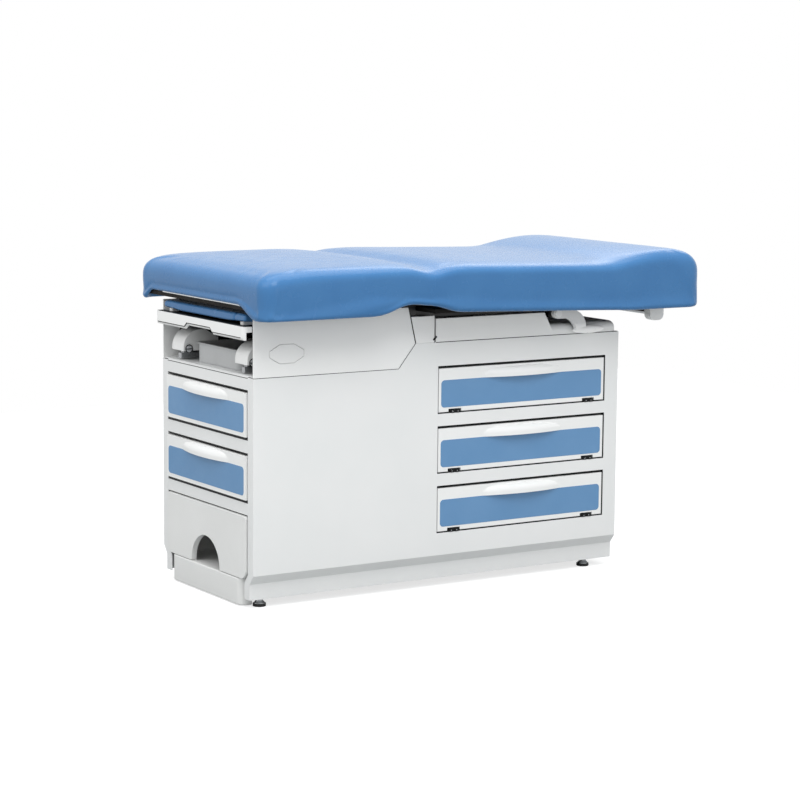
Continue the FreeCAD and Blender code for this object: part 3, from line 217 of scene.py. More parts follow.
class Finish:
    """A material whose nodes are added one effect at a time."""

    def __init__(self, name, **sockets):
        self.name = name
        self.material = bpy.data.materials.new(name)
        self.material.use_nodes = True
        self.tree = self.material.node_tree
        self.shader = self.tree.nodes["Principled BSDF"]
        for socket, value in sockets.items():
            self.shader.inputs[socket.replace("_", " ")].default_value = value
        self.place = self.tree.nodes.new("ShaderNodeTexCoord").outputs["Object"]
        self.height = None

    def node(self, kind, **settings):
        made = self.tree.nodes.new("ShaderNode" + kind)
        for name, value in settings.items():
            if name in made.inputs:
                made.inputs[name].default_value = value
            else:
                setattr(made, name, value)
        return made

    def link(self, output, socket):
        self.tree.links.new(output, socket)

    def noise(self, scale, detail=NOISE_DETAIL, stretch=(1, 1, 1)):
        shaped = self.node("Mapping", Scale=stretch)
        self.link(self.place, shaped.inputs["Vector"])
        made = self.node("TexNoise", Scale=scale, Detail=detail)
        self.link(shaped.outputs["Vector"], made.inputs["Vector"])
        return made.outputs["Fac"]

    def cells(self, scale):
        made = self.node("TexVoronoi", Scale=scale, feature="DISTANCE_TO_EDGE")
        self.link(self.place, made.inputs["Vector"])
        return made.outputs["Distance"]

    def ranged(self, value, low, high, start, end):
        """A value from start to end, mapped to run from low to high."""
        made = self.node("MapRange")
        for socket, number in (("From Min", start), ("From Max", end), ("To Min", low), ("To Max", high)):
            made.inputs[socket].default_value = number
        self.link(value, made.inputs["Value"])
        return made.outputs["Result"]

    def colours(self, value, first, second, spread=NOISE_SPREAD):
        """Base colour that runs from one tone to another with a texture value."""
        ramp = self.node("ValToRGB")
        for stop, position, code in zip(ramp.color_ramp.elements, spread, (first, second)):
            stop.position = position
            stop.color = linear(code)
        self.link(value, ramp.inputs["Fac"])
        self.link(ramp.outputs["Color"], self.shader.inputs["Base Color"])

    def rough(self, value, low, high):
        """Roughness that varies with a texture value. The socket keeps the mean, for use without textures."""
        socket = self.shader.inputs["Roughness"]
        socket.default_value = (low + high) / 2
        self.link(self.ranged(value, low, high, *NOISE_SPREAD), socket)

    def bump(self, value, strength, distance):
        """Relief from a texture value, on top of any relief added before."""
        made = self.node("Bump", Strength=strength, Distance=distance)
        self.link(value, made.inputs["Height"])
        if self.height:
            self.link(self.height, made.inputs["Normal"])
        self.height = made.outputs["Normal"]
        self.link(self.height, self.shader.inputs["Normal"])


def plain_finish(name, tones, tone_scale, rough, rough_scale, grain, grain_scale, grain_detail=FINE_DETAIL,
                 **sockets):
    """Paint, plastic or rubber: two close tones, uneven gloss, and grain with a strength and a depth."""
    made = Finish(name, **sockets)
    made.colours(made.noise(tone_scale), *tones)
    made.rough(made.noise(rough_scale), *rough)
    made.bump(made.noise(grain_scale, grain_detail), *grain)
    return made


def lever_plastic_light_and_shade():
    """Gloss plastic, whiter on the low paddles as painted light and darker on the arms above them as painted
    shade.
    """
    made = Finish("lever_plastic_light_and_shade", Coat_Weight=0.15, Coat_Roughness=0.2)
    across = made.node("SeparateXYZ")
    made.link(made.place, across.inputs["Vector"])
    # Painted light on the paddles and painted shade on the arms, set by level.
    made.colours(made.ranged(across.outputs["Z"], 0, 1, *PADDLE_SHADE_RISE), "FAFAF9", "DCDDDD", spread=(0.0, 1.0))
    made.rough(made.noise(50.0), 0.26, 0.34)
    made.bump(made.noise(1500.0, FINE_DETAIL), strength=0.05, distance=0.0002)
    return made


def blue_vinyl():
    """Soft vinyl with a pebbled grain under faint unevenness."""
    made = Finish("blue_vinyl", Specular_IOR_Level=0.24, Sheen_Weight=0.16, Sheen_Roughness=0.3)
    made.colours(made.noise(9.0, detail=4.0), "3C6FA2", "4174A6")
    made.rough(made.noise(30.0), 0.23, 0.29)
    made.bump(made.cells(700.0), strength=0.010, distance=0.0001)
    made.bump(made.noise(160.0, detail=2.0), strength=0.010, distance=0.0002)
    return made


def plated_steel():
    """Zinc with its spangle and drawing marks."""
    made = Finish("plated_steel", Metallic=1.0)
    made.colours(made.cells(120.0), "A9ABAD", "C2C4C6", spread=(0.0, 0.6))
    made.rough(made.noise(90.0, detail=4.0), 0.28, 0.44)
    made.bump(made.noise(500.0, detail=2.0, stretch=(1, 12, 12)), strength=0.08, distance=0.0002)
    return made


def bright_steel():
    """Chrome with faint polishing marks."""
    made = Finish("bright_steel", Metallic=1.0)
    made.colours(made.noise(40.0), "C6C8CB", "D2D4D6")
    made.rough(made.noise(300.0, detail=2.0, stretch=(1, 6, 6)), 0.10, 0.20)
    made.bump(made.noise(1400.0, FINE_DETAIL), strength=0.04, distance=0.0001)
    return made


def board():
    """Plywood coloured near black, a painted shade for the dark gaps under the top's hem, with its grain
    along X.
    """
    made = Finish("board", Specular_IOR_Level=0.1)
    # Near-black tones: painted shade where the board shows under the top.
    made.colours(made.noise(55.0, detail=5.0, stretch=(1, 9, 9)), "151312", "221E1B")
    made.rough(made.noise(40.0), 0.48, 0.62)
    made.bump(made.noise(260.0, stretch=(1, 10, 10)), strength=0.14, distance=0.0003)
    return made


def tread_rubber():
    """Ribbed rubber mat."""
    made = Finish("tread_rubber")
    ribs = made.node("TexWave", Scale=42.0, bands_direction="Y")
    made.link(made.place, ribs.inputs["Vector"])
    made.colours(ribs.outputs["Fac"], "1A1A1B", "2B2B2D")
    made.rough(made.noise(200.0), 0.64, 0.8)
    made.bump(ribs.outputs["Fac"], strength=0.8, distance=0.0012)
    made.bump(made.noise(1500.0), strength=0.2, distance=0.0002)
    return made


def make_finishes():
    """A material for each slot of the record, and two for nodes that differ from their slot."""
    made = [
        plain_finish("cabinet_paint", tones=("E3E5E5", "E7E8E8"), tone_scale=5.0,
                     rough=(0.38, 0.46), rough_scale=60.0, grain=(0.10, 0.0003), grain_scale=900.0,
                     Coat_Weight=0.06, Coat_Roughness=0.3),
        plain_finish("step_plastic", tones=("E2E3E2", "E7E8E7"), tone_scale=6.0,
                     rough=(0.40, 0.48), rough_scale=60.0, grain=(0.10, 0.0003), grain_scale=900.0,
                     Coat_Weight=0.05, Coat_Roughness=0.3),
        lever_plastic_light_and_shade(),
        plain_finish("white_plastic", tones=("EBECEC", "EEEFEE"), tone_scale=7.0,
                     rough=(0.32, 0.41), rough_scale=40.0, grain=(0.06, 0.0002), grain_scale=1500.0,
                     Coat_Weight=0.05, Coat_Roughness=0.25),
        blue_vinyl(),
        plain_finish("blue_plastic", tones=("5E8CB8", "6591BC"), tone_scale=8.0,
                     rough=(0.36, 0.45), rough_scale=50.0, grain=(0.08, 0.0002), grain_scale=1800.0),
        plain_finish("black_plastic", tones=("0E0F10", "161718"), tone_scale=25.0,
                     rough=(0.36, 0.52), rough_scale=120.0, grain=(0.12, 0.0002), grain_scale=1600.0,
                     Specular_IOR_Level=0.2),
        plain_finish("grey_plastic", tones=("B8BABB", "BFC1C2"), tone_scale=12.0,
                     rough=(0.40, 0.52), rough_scale=60.0, grain=(0.10, 0.0002), grain_scale=1200.0),
        plated_steel(),
        bright_steel(),
        plain_finish("black_paint", tones=("141415", "1D1D1F"), tone_scale=18.0,
                     rough=(0.24, 0.38), rough_scale=80.0, grain=(0.08, 0.0002), grain_scale=900.0),
        board(),
        tread_rubber(),
        plain_finish("foot_rubber", tones=("161617", "222223"), tone_scale=60.0,
                     rough=(0.52, 0.7), rough_scale=150.0, grain=(0.15, 0.0002), grain_scale=1300.0,
                     grain_detail=NOISE_DETAIL),
    ]
    return {finish.name: finish.material for finish in made}


finishes = make_finishes()

# Radius of the broken edges on the solids of each slot, and on the nodes that differ from their slot.
SLOT_EDGES = {
    "cabinet_paint": 0.0014, "white_plastic": 0.0022, "blue_plastic": 0.0008, "black_plastic": 0.0012,
    "grey_plastic": 0.0012, "plated_steel": 0.0006, "bright_steel": 0.0005, "black_paint": 0.0008,
    "board": 0.0012, "tread_rubber": 0.0014, "foot_rubber": 0.0012,
}
NODE_EDGES = {
    "step_shell": 0.0045, "step_base": 0.0030, "top_shroud": 0.0030, "release_levers": 0.0030,
    "paper_brackets": 0.0040, "legrest_front": 0.0014, "side_cover_near": 0.0016, "side_cover_far": 0.0016,
}
# Nodes with a finish other than their slot's.
NODE_FINISHES = {
    "step_shell": "step_plastic", "step_base": "step_plastic", "release_levers": "lever_plastic_light_and_shade",
}
WELD_REACH = 0.00001
FLAT_ANGLE = math.radians(0.5)
EDGE_ANGLE = math.radians(35)
EDGE_SEGMENTS = 3


def break_edges(piece, width):
    """Rounded edges, on the flat faces that a meshed solid's triangles make up."""
    weld = piece.modifiers.new("weld", "WELD")
    weld.merge_threshold = WELD_REACH
    flat = piece.modifiers.new("flat_faces", "DECIMATE")
    flat.decimate_type = "DISSOLVE"
    flat.angle_limit = FLAT_ANGLE
    edge = piece.modifiers.new("edges", "BEVEL")
    edge.width = width
    edge.segments = EDGE_SEGMENTS
    edge.limit_method = "ANGLE"
    edge.angle_limit = EDGE_ANGLE
    piece.modifiers.new("shading", "WEIGHTED_NORMAL")


def finish_nodes():
    """Give every solid its material, and the rounded edges that folded and moulded pieces have."""
    for part in frame["record"]["subparts"]:
        solid = nodes[part["node"]]
        slot = part["material_slot"]
        solid.data.materials.clear()
        solid.data.materials.append(finishes[NODE_FINISHES.get(part["node"], slot)])
        if slot in SLOT_EDGES:
            break_edges(solid, NODE_EDGES.get(part["node"], SLOT_EDGES[slot]))


# Meshes.
def new_piece(name, mesh, slot, body=None):
    piece = bpy.data.objects.new(name, mesh)
    scene.collection.objects.link(piece)
    mesh.materials.clear()
    mesh.materials.append(finishes[slot])
    mesh.polygons.foreach_set("use_smooth", [True] * len(mesh.polygons))
    if body:
        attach(piece, body)
    return piece


def points_of(mesh):
    flat = np.empty(len(mesh.vertices) * 3)
    mesh.vertices.foreach_get("co", flat)
    return flat.reshape(-1, 3)


def oval_ring(x_span, half_y, radius, along=150, across=70, round_steps=14):
    """Points of a rounded rectangle, anticlockwise from the middle of its +X side."""
    corners = []
    for number, (end, sx, sy) in enumerate(((1, 1, 1), (0, -1, 1), (0, -1, -1), (1, 1, -1))):
        angles = np.radians(90 * number + np.linspace(0, 90, round_steps))
        centre = np.array((x_span[end] - sx * radius, sy * (half_y - radius)))
        corners.append(centre + radius * np.stack((np.cos(angles), np.sin(angles)), axis=1))
    ring = []
    for number, corner in enumerate(corners):
        ring.append(corner)
        following = corners[(number + 1) % 4][0]
        steps = along if number % 2 == 0 else across
        share = np.linspace(0, 1, steps + 2)[1:-1, None]
        ring.append(corner[-1] * (1 - share) + following * share)
    return np.roll(np.concatenate(ring), across // 2, axis=0)


def loft(rings):
    """Closed mesh through rings of equal length, with a strip of four-sided faces across both ends."""
    count = len(rings[0])
    faces = []
    for row in range(len(rings) - 1):
        low, high = row * count, (row + 1) * count
        for i in range(count):
            j = (i + 1) % count
            faces.append((low + i, low + j, high + j, high + i))
    last = (len(rings) - 1) * count
    for i in range(count // 2 - 1):
        across = (i, i + 1, count - 2 - i, count - 1 - i)
        faces += [across[::-1], tuple(last + point for point in across)]
    mesh = bpy.data.meshes.new("loft")
    mesh.from_pydata(np.concatenate(rings).tolist(), [], faces)
    return mesh


def soften(piece):
    smooth = piece.modifiers.new("smooth", "SUBSURF")
    smooth.levels = 1
    smooth.render_levels = 1


def swell(piece, held, cap, frames=20):
    """Blow a closed skin up with cloth pressure, its held points fixed, and keep the shape it takes."""
    rest = points_of(piece.data)
    group = piece.vertex_groups.new(name="held")
    group.add([int(i) for i in np.flatnonzero(held)], 1.0, "REPLACE")
    modifier = piece.modifiers.new("swell", "CLOTH")
    cloth = modifier.settings
    cloth.quality = 4
    cloth.mass = 0.3
    cloth.tension_stiffness = 25
    cloth.compression_stiffness = 25
    cloth.bending_stiffness = 1.5
    cloth.use_pressure = True
    cloth.uniform_pressure_force = CLOTH_PRESSURE
    cloth.vertex_group_mass = group.name
    cloth.effector_weights.gravity = 0
    modifier.collision_settings.use_collision = False
    modifier.point_cache.frame_end = frames
    for number in range(1, frames + 1):
        scene.frame_set(number)
    blown = points_of(piece.evaluated_get(bpy.context.evaluated_depsgraph_get()).data)
    piece.modifiers.remove(modifier)
    piece.vertex_groups.remove(group)
    scene.frame_set(1)
    move = blown - rest
    reach = np.linalg.norm(move, axis=1, keepdims=True)
    move *= np.minimum(1, cap / np.maximum(reach, 1e-9))
    piece.data.vertices.foreach_set("co", (rest + move).ravel())
    piece.data.update()


# Upholstery.
def top_inset(x, y):
    """How far a point lies inside the outline of the top."""
    over_x = np.abs(x) - (TOP_HALF_LENGTH - TOP_CORNER)
    over_y = np.abs(y) - (TOP_HALF_WIDTH - TOP_CORNER)
    outside = np.hypot(np.maximum(over_x, 0), np.maximum(over_y, 0))
    return TOP_CORNER - outside - np.minimum(np.maximum(over_x, over_y), 0)


def hem_level(x, y):
    """Level of the skirt's lower edge, with its arch at the foot end."""
    far = smooth_step(y, *FAR_HEM_EASE_Y) * smooth_step(-x, *FAR_HEM_EASE_X)
    side = eased(HEM_LEVELS, x) + FAR_HEM_LIFT * far
    arch = (1 - smooth_step(-y, *FOOT_ARCH_NEAR)) * (1 - smooth_step(y, *FOOT_ARCH_FAR)) * (x < FOOT_FACE)
    return side + (FOOT_HEM - side) * arch


def top_rings():
    """Rings of the upholstery from the middle of its underside, round the skirt, to the middle of its top."""
    rings = []
    deepest = TOP_HALF_WIDTH - SPINE_HALF

    def add(inset, level, foot_inset=None, head_inset=None):
        x_span = (-TOP_HALF_LENGTH + (foot_inset or inset), TOP_HALF_LENGTH - (head_inset or inset))
        shrunk = CORNER_SHRINK * min(inset, SIDE_ROLL_REACH)
        radius = TOP_CORNER - shrunk + CORNER_GROWTH * max(inset - SIDE_ROLL_REACH, 0)
        half_y = TOP_HALF_WIDTH - inset
        x, y = oval_ring(x_span, half_y, min(radius, CORNER_MOST * half_y)).T
        rings.append(np.stack((x, y, level(x, y)), axis=1))

    def underside(x, y):
        return eased(UNDERSIDE_LEVELS, x)

    def shoulder(x):
        return eased(TOP_LEVELS, x) - SWELL - eased(EDGE_ROLLS, x)

    for inset in (deepest, *UNDERSIDE_INSETS):
        add(inset, underside)
    for share in SKIRT_SHARES:
        def inner_wall(x, y):
            start = underside(x, y)
            return start + (hem_level(x, y) + SKIRT_LIFT - start) * share

        add(SKIRT, inner_wall, FOOT_SKIRT)
    for inset, foot_inset, lift in HEM_ROWS:
        add(inset, lambda x, y: hem_level(x, y) + lift, foot_inset)
    for share in WALL_SHARES:
        def wall(x, y):
            low = hem_level(x, y) + WALL_START
            return low + (shoulder(x) - low) * share

        add(WALL_TAPER * (1 - share) ** 2 + WALL_INSET, wall)
    for angle in ROLL_ANGLES:
        def roll(x, y):
            return shoulder(x) + eased(EDGE_ROLLS, x) * math.sin(angle) ** ROLL_UP_POWER

        turn_in = (1 - math.cos(angle)) ** ROLL_IN_POWER
        side_inset, head_inset = (WALL_INSET + reach * turn_in for reach in ROLL_REACHES)
        add(side_inset, roll, head_inset=head_inset)
    for share in CROWN_SHARES:
        def crown(x, y):
            return eased(TOP_LEVELS, x) - SWELL + CROWN * (1 - (1 - share) ** 2)

        side_inset, head_inset = (reach + (deepest - reach) * share for reach in ROLL_REACHES)
        add(side_inset, crown, head_inset=head_inset)
    return rings


def make_top():
    """The one-piece upholstered top, which runs over the backrest hinge."""
    under_band, under_inset, hem_band = 0.008, 0.024, 0.010
    mesh = loft(top_rings())
    top = new_piece("upholstered_top", mesh, "blue_vinyl")
    x, y, z = points_of(mesh).T
    under = (z < eased(UNDERSIDE_LEVELS, x) + under_band) & (top_inset(x, y) > under_inset)
    held = under | (z < hem_level(x, y) + hem_band)
    swell(top, held, cap=SWELL)
    soften(top)
    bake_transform(top)
    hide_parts("seat_cushion", "flex_pad", "back_cushion")


def pad_rings(low, high, under):
    """Rings of the leg-rest pad from the middle of its underside to the middle of its top."""
    thick = high.z - under - PAD_SWELL
    deepest = high.y - PAD_SPINE_HALF
    seam_inset = high.y + PAD_SEAM
    rings = []

    def add(inset, level):
        radius = max(PAD_CORNER - PAD_CORNER_SHRINK * inset, PAD_CORNER_LEAST)
        x_span = (low.x + inset, high.x - inset)
        x, y = oval_ring(x_span, high.y - inset, radius, along=90, across=150, round_steps=8).T
        front = 1 - smooth_step(x, low.x, low.x + PAD_FRONT)
        raised = PAD_END_LIFT * smooth_step(np.abs(y), *PAD_END_EASE) * front * (1 - level / thick)
        rings.append(np.stack((x, y, under + level + raised), axis=1))

    for inset in (deepest, *PAD_UNDER_INSETS, PAD_SWELL + PAD_EDGE):
        add(inset, 0)
    for angle in np.radians((30, 60, 90)):
        add(PAD_SWELL + PAD_EDGE * (1 - math.sin(angle)), PAD_EDGE * (1 - math.cos(angle)))
    for angle in np.radians((0, 30, 60, 90)):
        add(PAD_SWELL + PAD_EDGE * (1 - math.cos(angle)), thick - PAD_EDGE * (1 - math.sin(angle)))
    seam_insets = np.linspace(seam_inset - PAD_SEAM_REACH, seam_inset + PAD_SEAM_REACH, 7)
    for inset in (*PAD_RIM_INSETS, *seam_insets, *np.linspace(PAD_MIDDLE_INSET, deepest, 14)):
        add(inset, thick)
    return rings


def make_legrest_pad():
    """Thin pad over the leg rest's board. Its front curves up towards both ends."""
    held_band, front_band, top_band = 0.006, 0.01, 0.006
    low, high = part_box("legrest_pad")
    under = low.z + PAD_SPACER
    mesh = loft(pad_rings(low, high, under))
    pad = new_piece("legrest_cushion", mesh, "blue_vinyl")
    held = points_of(mesh)[:, 2] < under + held_band
    swell(pad, held, cap=PAD_SWELL)
    points = points_of(mesh)
    seam = np.exp(-((points[:, 1] - PAD_SEAM) / PAD_SEAM_WIDTH) ** 2)
    points[:, 0] += PAD_SEAM_DEPTH * seam * (points[:, 0] < low.x + front_band)
    points[:, 2] -= PAD_SEAM_DEPTH * seam * (points[:, 2] > high.z - top_band)
    mesh.vertices.foreach_set("co", points.ravel())
    soften(pad)
    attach(pad, "legrest")
    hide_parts("legrest_pad")


# Small hardware.
def prism(outline, low, high):
    """Closed solid over a flat outline of (x, y) points."""
    count = len(outline)
    points = [(x, y, z) for z in (low, high) for x, y in outline]
    sides = [(i, (i + 1) % count, count + (i + 1) % count, count + i) for i in range(count)]
    mesh = bpy.data.meshes.new("prism")
    mesh.from_pydata(points, [], sides + [tuple(range(count))[::-1], tuple(range(count, 2 * count))])
    return mesh


def round_outline(radius, steps=36, start=0.0, turn=360.0):
    angles = np.radians(start + turn * np.arange(steps) / (steps if turn == 360 else steps - 1))
    return [(radius * math.cos(a), radius * math.sin(a)) for a in angles]


def rounded_outline(x_span, y_span, radius, steps=6):
    middle = (y_span[0] + y_span[1]) / 2
    half = (y_span[1] - y_span[0]) / 2
    ring = oval_ring(x_span, half, radius, along=0, across=0, round_steps=steps)
    return [(x, y + middle) for x, y in ring.tolist()]


def strip(low, high, rounding):
    """Bar between two corners, rounded about its height."""
    outline = rounded_outline((low[0], high[0]), (low[1], high[1]), rounding)
    return prism(outline, low[2], high[2])


def bands(path, half):
    """Outlines of thin bars along a line of points, one bar for each run."""
    outlines = []
    for start, end in zip(np.array(path[:-1]), np.array(path[1:])):
        along = (end - start) / np.linalg.norm(end - start)
        aside = half * np.array((-along[1], along[0]))
        outlines.append([tuple(point) for point in (start - aside, end - aside, end + aside, start + aside)])
    return outlines


def placed(mesh, place, axis=(0, 0, 1)):
    """Stand a mesh made along Z at a place, pointing along an axis."""
    turn = Vector(axis).to_track_quat("Z", "Y").to_matrix().to_4x4()
    mesh.transform(Matrix.Translation(place) @ turn)
    return mesh


def merged(meshes):
    points, faces = [], []
    for mesh in meshes:
        start = len(points)
        points += [tuple(vertex.co) for vertex in mesh.vertices]
        faces += [tuple(start + i for i in polygon.vertices) for polygon in mesh.polygons]
    mesh = bpy.data.meshes.new("merged")
    mesh.from_pydata(points, [], faces)
    return mesh


def hard_piece(name, meshes, slot, body, edge):
    break_edges(new_piece(name, merged(meshes), slot, body), edge)


def make_pad_spacers():
    """Two bars that the leg-rest pad stands on."""
    side_inset, half = 0.030, 0.008
    front_inset, rear_inset = 0.008, 0.02
    sunk, rounding = 0.003, 0.004
    low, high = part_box("legrest_pad")
    top = low.z + PAD_SPACER + sunk
    spacers = [strip((low.x + front_inset, y - half, low.z), (high.x - rear_inset, y + half, top), rounding)
               for y in (low.y + side_inset, high.y - side_inset)]
    hard_piece("legrest_pad_spacers", spacers, "white_plastic", "legrest", edge=0.001)


def make_hem_binding():
    """White edging along the foot-end hem, where the cover is fixed under the seat board."""
    half_deep, tall, rounding = 0.0022, 0.0036, 0.0012
    inset, lift, sections = 0.0115, 0.0012, 90
    middle = -TOP_HALF_LENGTH + inset
    outline = rounded_outline((-half_deep, half_deep), (-tall, 0), rounding, steps=4)
    rings = []
    for y in np.linspace(-HEM_BINDING_HALF, HEM_BINDING_HALF, sections):
        top = float(hem_level(np.array(middle), np.array(y))) + lift
        rings.append(np.array([(middle + x, y, top + z) for x, z in outline]))
    piece = new_piece("hem_binding", loft(rings), "white_plastic", "cabinet")
    break_edges(piece, width=0.0004)


def make_bar_line():
    """Black line on the leg rest's bar, above its stepped lower edge, and a black strip on its top: painted
    shade of the crevice there and of the bar's shaded top face.
    """
    lip, rear_inset, end_inset = 0.0035, 0.001, 0.005
    half_thick, rounding = 0.001, 0.002
    low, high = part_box("legrest_front")
    # Painted shade: a black line for the crevice and a black strip for the shaded top face.
    bars = [placed(prism(bar, -LINE_SUNK, LINE_PROUD), (low.x, 0, low.z), (-1, 0, 0))
            for bar in bands(BAR_LINE, BAR_LINE_HALF)]
    bars.append(strip((low.x + lip, low.y + end_inset, high.z - half_thick),
                      (high.x - rear_inset, high.y - end_inset, high.z + half_thick), rounding))
    hard_piece("bar_line", bars, "black_plastic", "legrest", edge=0.0002)


def make_cover_seam_shade():
    """Black line along the lower and sloping edges of each side cover: painted shade in its joint with the
    panel.
    """
    # Painted shade: black strips along the joint.
    bars = []
    for name, side in (("near", -1), ("far", 1)):
        low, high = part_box(f"side_cover_{name}")
        path = [(low.x, low.z), (high.x - COVER_SHOULDER[0], low.z), (high.x, low.z + COVER_SHOULDER[1])]
        face = side * max(-low.y, high.y)
        for bar in bands(path, COVER_SEAM_SHADE_HALF):
            outline = [(-side * x, z) for x, z in bar][::-side]
            bars.append(placed(prism(outline, -LINE_SUNK, LINE_PROUD), (0, face, 0), (0, side, 0)))
    hard_piece("cover_seam_shade", bars, "black_plastic", "cabinet", edge=0.0002)


def make_cup_screws():
    """Large slotted screw and washer that each heel cup tilts on."""
    radius, base, height, half_slot = 0.0080, 0.0004, 0.0024, 0.0010
    washer_rim, washer_thick = 0.0030, 0.001
    towards_near = (0, -1, 0)
    for name, face in CUP_SCREW_FACES.items():
        place = (CUP_SCREW.x, face, CUP_SCREW.z)
        halves = []
        for start, shift in ((0, half_slot), (180, -half_slot)):
            outline = [(x, z + shift) for x, z in round_outline(radius, steps=20, start=start, turn=180)]
            halves.append(placed(prism(outline, base, height), place, towards_near))
        hard_piece(f"cup_screw_{name}", halves, "bright_steel", f"stirrup_{name}", edge=0.0006)
        washer = placed(prism(round_outline(radius + washer_rim), 0, washer_thick), place, towards_near)
        hard_piece(f"cup_washer_{name}", [washer], "black_plastic", f"stirrup_{name}", edge=0.0003)


def make_lever_caps():
    """Round cap on each end of the release shaft."""
    radius, thick = 0.0105, 0.003
    low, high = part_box("release_shaft")
    x, z = (low.x + high.x) / 2, (low.z + high.z) / 2
    caps = [placed(prism(round_outline(radius), 0, thick), (x, y, z), (0, y, 0)) for y in (low.y, high.y)]
    hard_piece("lever_caps", caps, "white_plastic", "release", edge=0.0018)


def make_foot_fittings():
    """Steel cup and lock nut on each levelling foot."""
    for number in (1, 2, 3, 4):
        name = f"levelling_foot_{number}"
        low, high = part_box(name)
        place = ((low.x + high.x) / 2, (low.y + high.y) / 2, 0)
        rings = [np.array([(x, y, z) for x, y in round_outline(radius)]) for radius, z in FOOT_CUP]
        nut = prism(round_outline(FOOT_NUT_RADIUS, steps=6), *FOOT_NUT_SPAN)
        meshes = [placed(loft(rings), place), placed(nut, place)]
        hard_piece(f"levelling_fitting_{number}", meshes, "bright_steel", name, edge=0.0006)


def make_glide_clips():
    """Paired ears and pins on the glides that each side drawer runs on."""
    ear_drop, ear_sunk, ear_proud = 0.0086, 0.001, 0.0016
    pin_drop, pin_shift, pin_radius, pin_proud = 0.0046, 0.001, 0.0013, 0.0026
    ear = rounded_outline((-0.006, 0.006), (0, 0.0075), radius=0.0022)
    pin = round_outline(pin_radius, steps=16)
    ears, pins = [], []
    for bay in range(SIDE_BAYS):
        bottom = GLIDE_TOP - bay * SIDE_BAY_PITCH
        for start in GLIDE_STARTS:
            for side in (-1, 1):
                for clip in GLIDE_CLIPS:
                    ear_place = (start + clip, side * GLIDE_FACE, bottom - ear_drop)
                    ears.append(placed(prism(ear, -ear_sunk, ear_proud), ear_place, (0, side, 0)))
                    pin_place = (start + clip - pin_shift, side * GLIDE_FACE, bottom - pin_drop)
                    pins.append(placed(prism(pin, 0, pin_proud), pin_place, (0, side, 0)))
    hard_piece("glide_ears", ears, "black_plastic", "cabinet", edge=0.0006)
    hard_piece("glide_pins", pins, "bright_steel", "cabinet", edge=0.0003)


def side_shade_strips(drawer):
    """Black strips on the four sides of one drawer's opening, in both side panels: painted shade in the gaps.
    """
    thin, medium, broad = 0.0022, 0.0030, 0.0060
    low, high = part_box(drawer)
    left, right = low.x - SIDE_GAP, high.x + SIDE_GAP
    bottom, top = low.z - SIDE_GAP, high.z + SIDE_GAP_TOP
    strips = []
    for side in (-1, 1):
        deep = sorted((side * SIDE_SHADE_STRIP[0], side * SIDE_SHADE_STRIP[1]))
        flush = sorted((side * SIDE_SHADE_STRIP[0], side * SIDE_SHADE_STRIP_FLUSH))
        strips += [
            strip((left, flush[0], bottom), (right, flush[1], bottom + medium), SHADE_STRIP_ROUNDING),
            strip((left, deep[0], top - broad), (right, deep[1], top), SHADE_STRIP_ROUNDING),
            strip((left, deep[0], bottom), (left + thin, deep[1], top), SHADE_STRIP_ROUNDING),
            strip((right - medium, flush[0], bottom), (right, flush[1], top), SHADE_STRIP_ROUNDING),
        ]
    return strips


def foot_shade_strips(drawer):
    """Black strips above and below one foot-end drawer: painted shade in the gaps."""
    below, above = 0.0060, 0.0030
    low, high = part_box(drawer)
    bottom, top = low.z - FOOT_GAP, high.z + FOOT_GAP_TOP
    return [strip((FOOT_SHADE_STRIP[0], -FOOT_SHADE_STRIP_HALF, start), (FOOT_SHADE_STRIP[1], FOOT_SHADE_STRIP_HALF, end), SHADE_STRIP_ROUNDING)
            for start, end in ((bottom, bottom + below), (top - above, top))]


def make_shade_strips():
    """Black strips round the drawers, under the deck's front edge, and between the shroud and the panels:
    painted shade in these gaps and joints.
    """
    deck_depth, deck_rounding = 0.003, 0.0005
    shroud_depth, shroud_half = 0.004, 0.0009
    # Painted shade: black strips where the gaps and joints fall dark.
    rubber = []
    for number in (1, 2, 3):
        rubber += side_shade_strips(f"side_drawer_{number}_fronts")
    for number in (1, 2):
        rubber += foot_shade_strips(f"foot_drawer_{number}_front")
    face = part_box("foot_frame")[0].x
    rubber.append(strip((face - LINE_PROUD, -FOOT_SHADE_STRIP_HALF, DECK_SEAM[0]),
                        (face + deck_depth, FOOT_SHADE_STRIP_HALF, DECK_SEAM[1]), deck_rounding))
    low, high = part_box("top_shroud")
    for side in (-1, 1):
        inner, outer = sorted((side * (high.y - shroud_depth), side * (high.y + LINE_PROUD)))
        rubber.append(strip((low.x, inner, low.z - shroud_half),
                            (high.x - shroud_depth, outer, low.z + shroud_half), SHADE_STRIP_ROUNDING))
    hard_piece("painted_shade_strips", rubber, "black_plastic", "cabinet", edge=0.0004)


def make_pivot_clips():
    """Small black spring clip at the rear lower corner of each pivot cover."""
    half_long, half_tall, rounding, thick = 0.007, 0.0022, 0.0014, 0.0014
    overhang, rise, tilt = 0.001, 0.011, math.radians(-42)
    low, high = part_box("pivot_covers")
    outline = [(x * math.cos(tilt) - z * math.sin(tilt), x * math.sin(tilt) + z * math.cos(tilt))
               for x, z in rounded_outline((-half_long, half_long), (-half_tall, half_tall), rounding)]
    clips = []
    for side in (-1, 1):
        points = [(x * side, z) for x, z in outline][::side]
        place = (high.x + overhang, side * high.y, low.z + rise)
        clips.append(placed(prism(points, 0, thick), place, (0, side, 0)))
    hard_piece("pivot_clips", clips, "black_plastic", "cabinet", edge=0.0004)


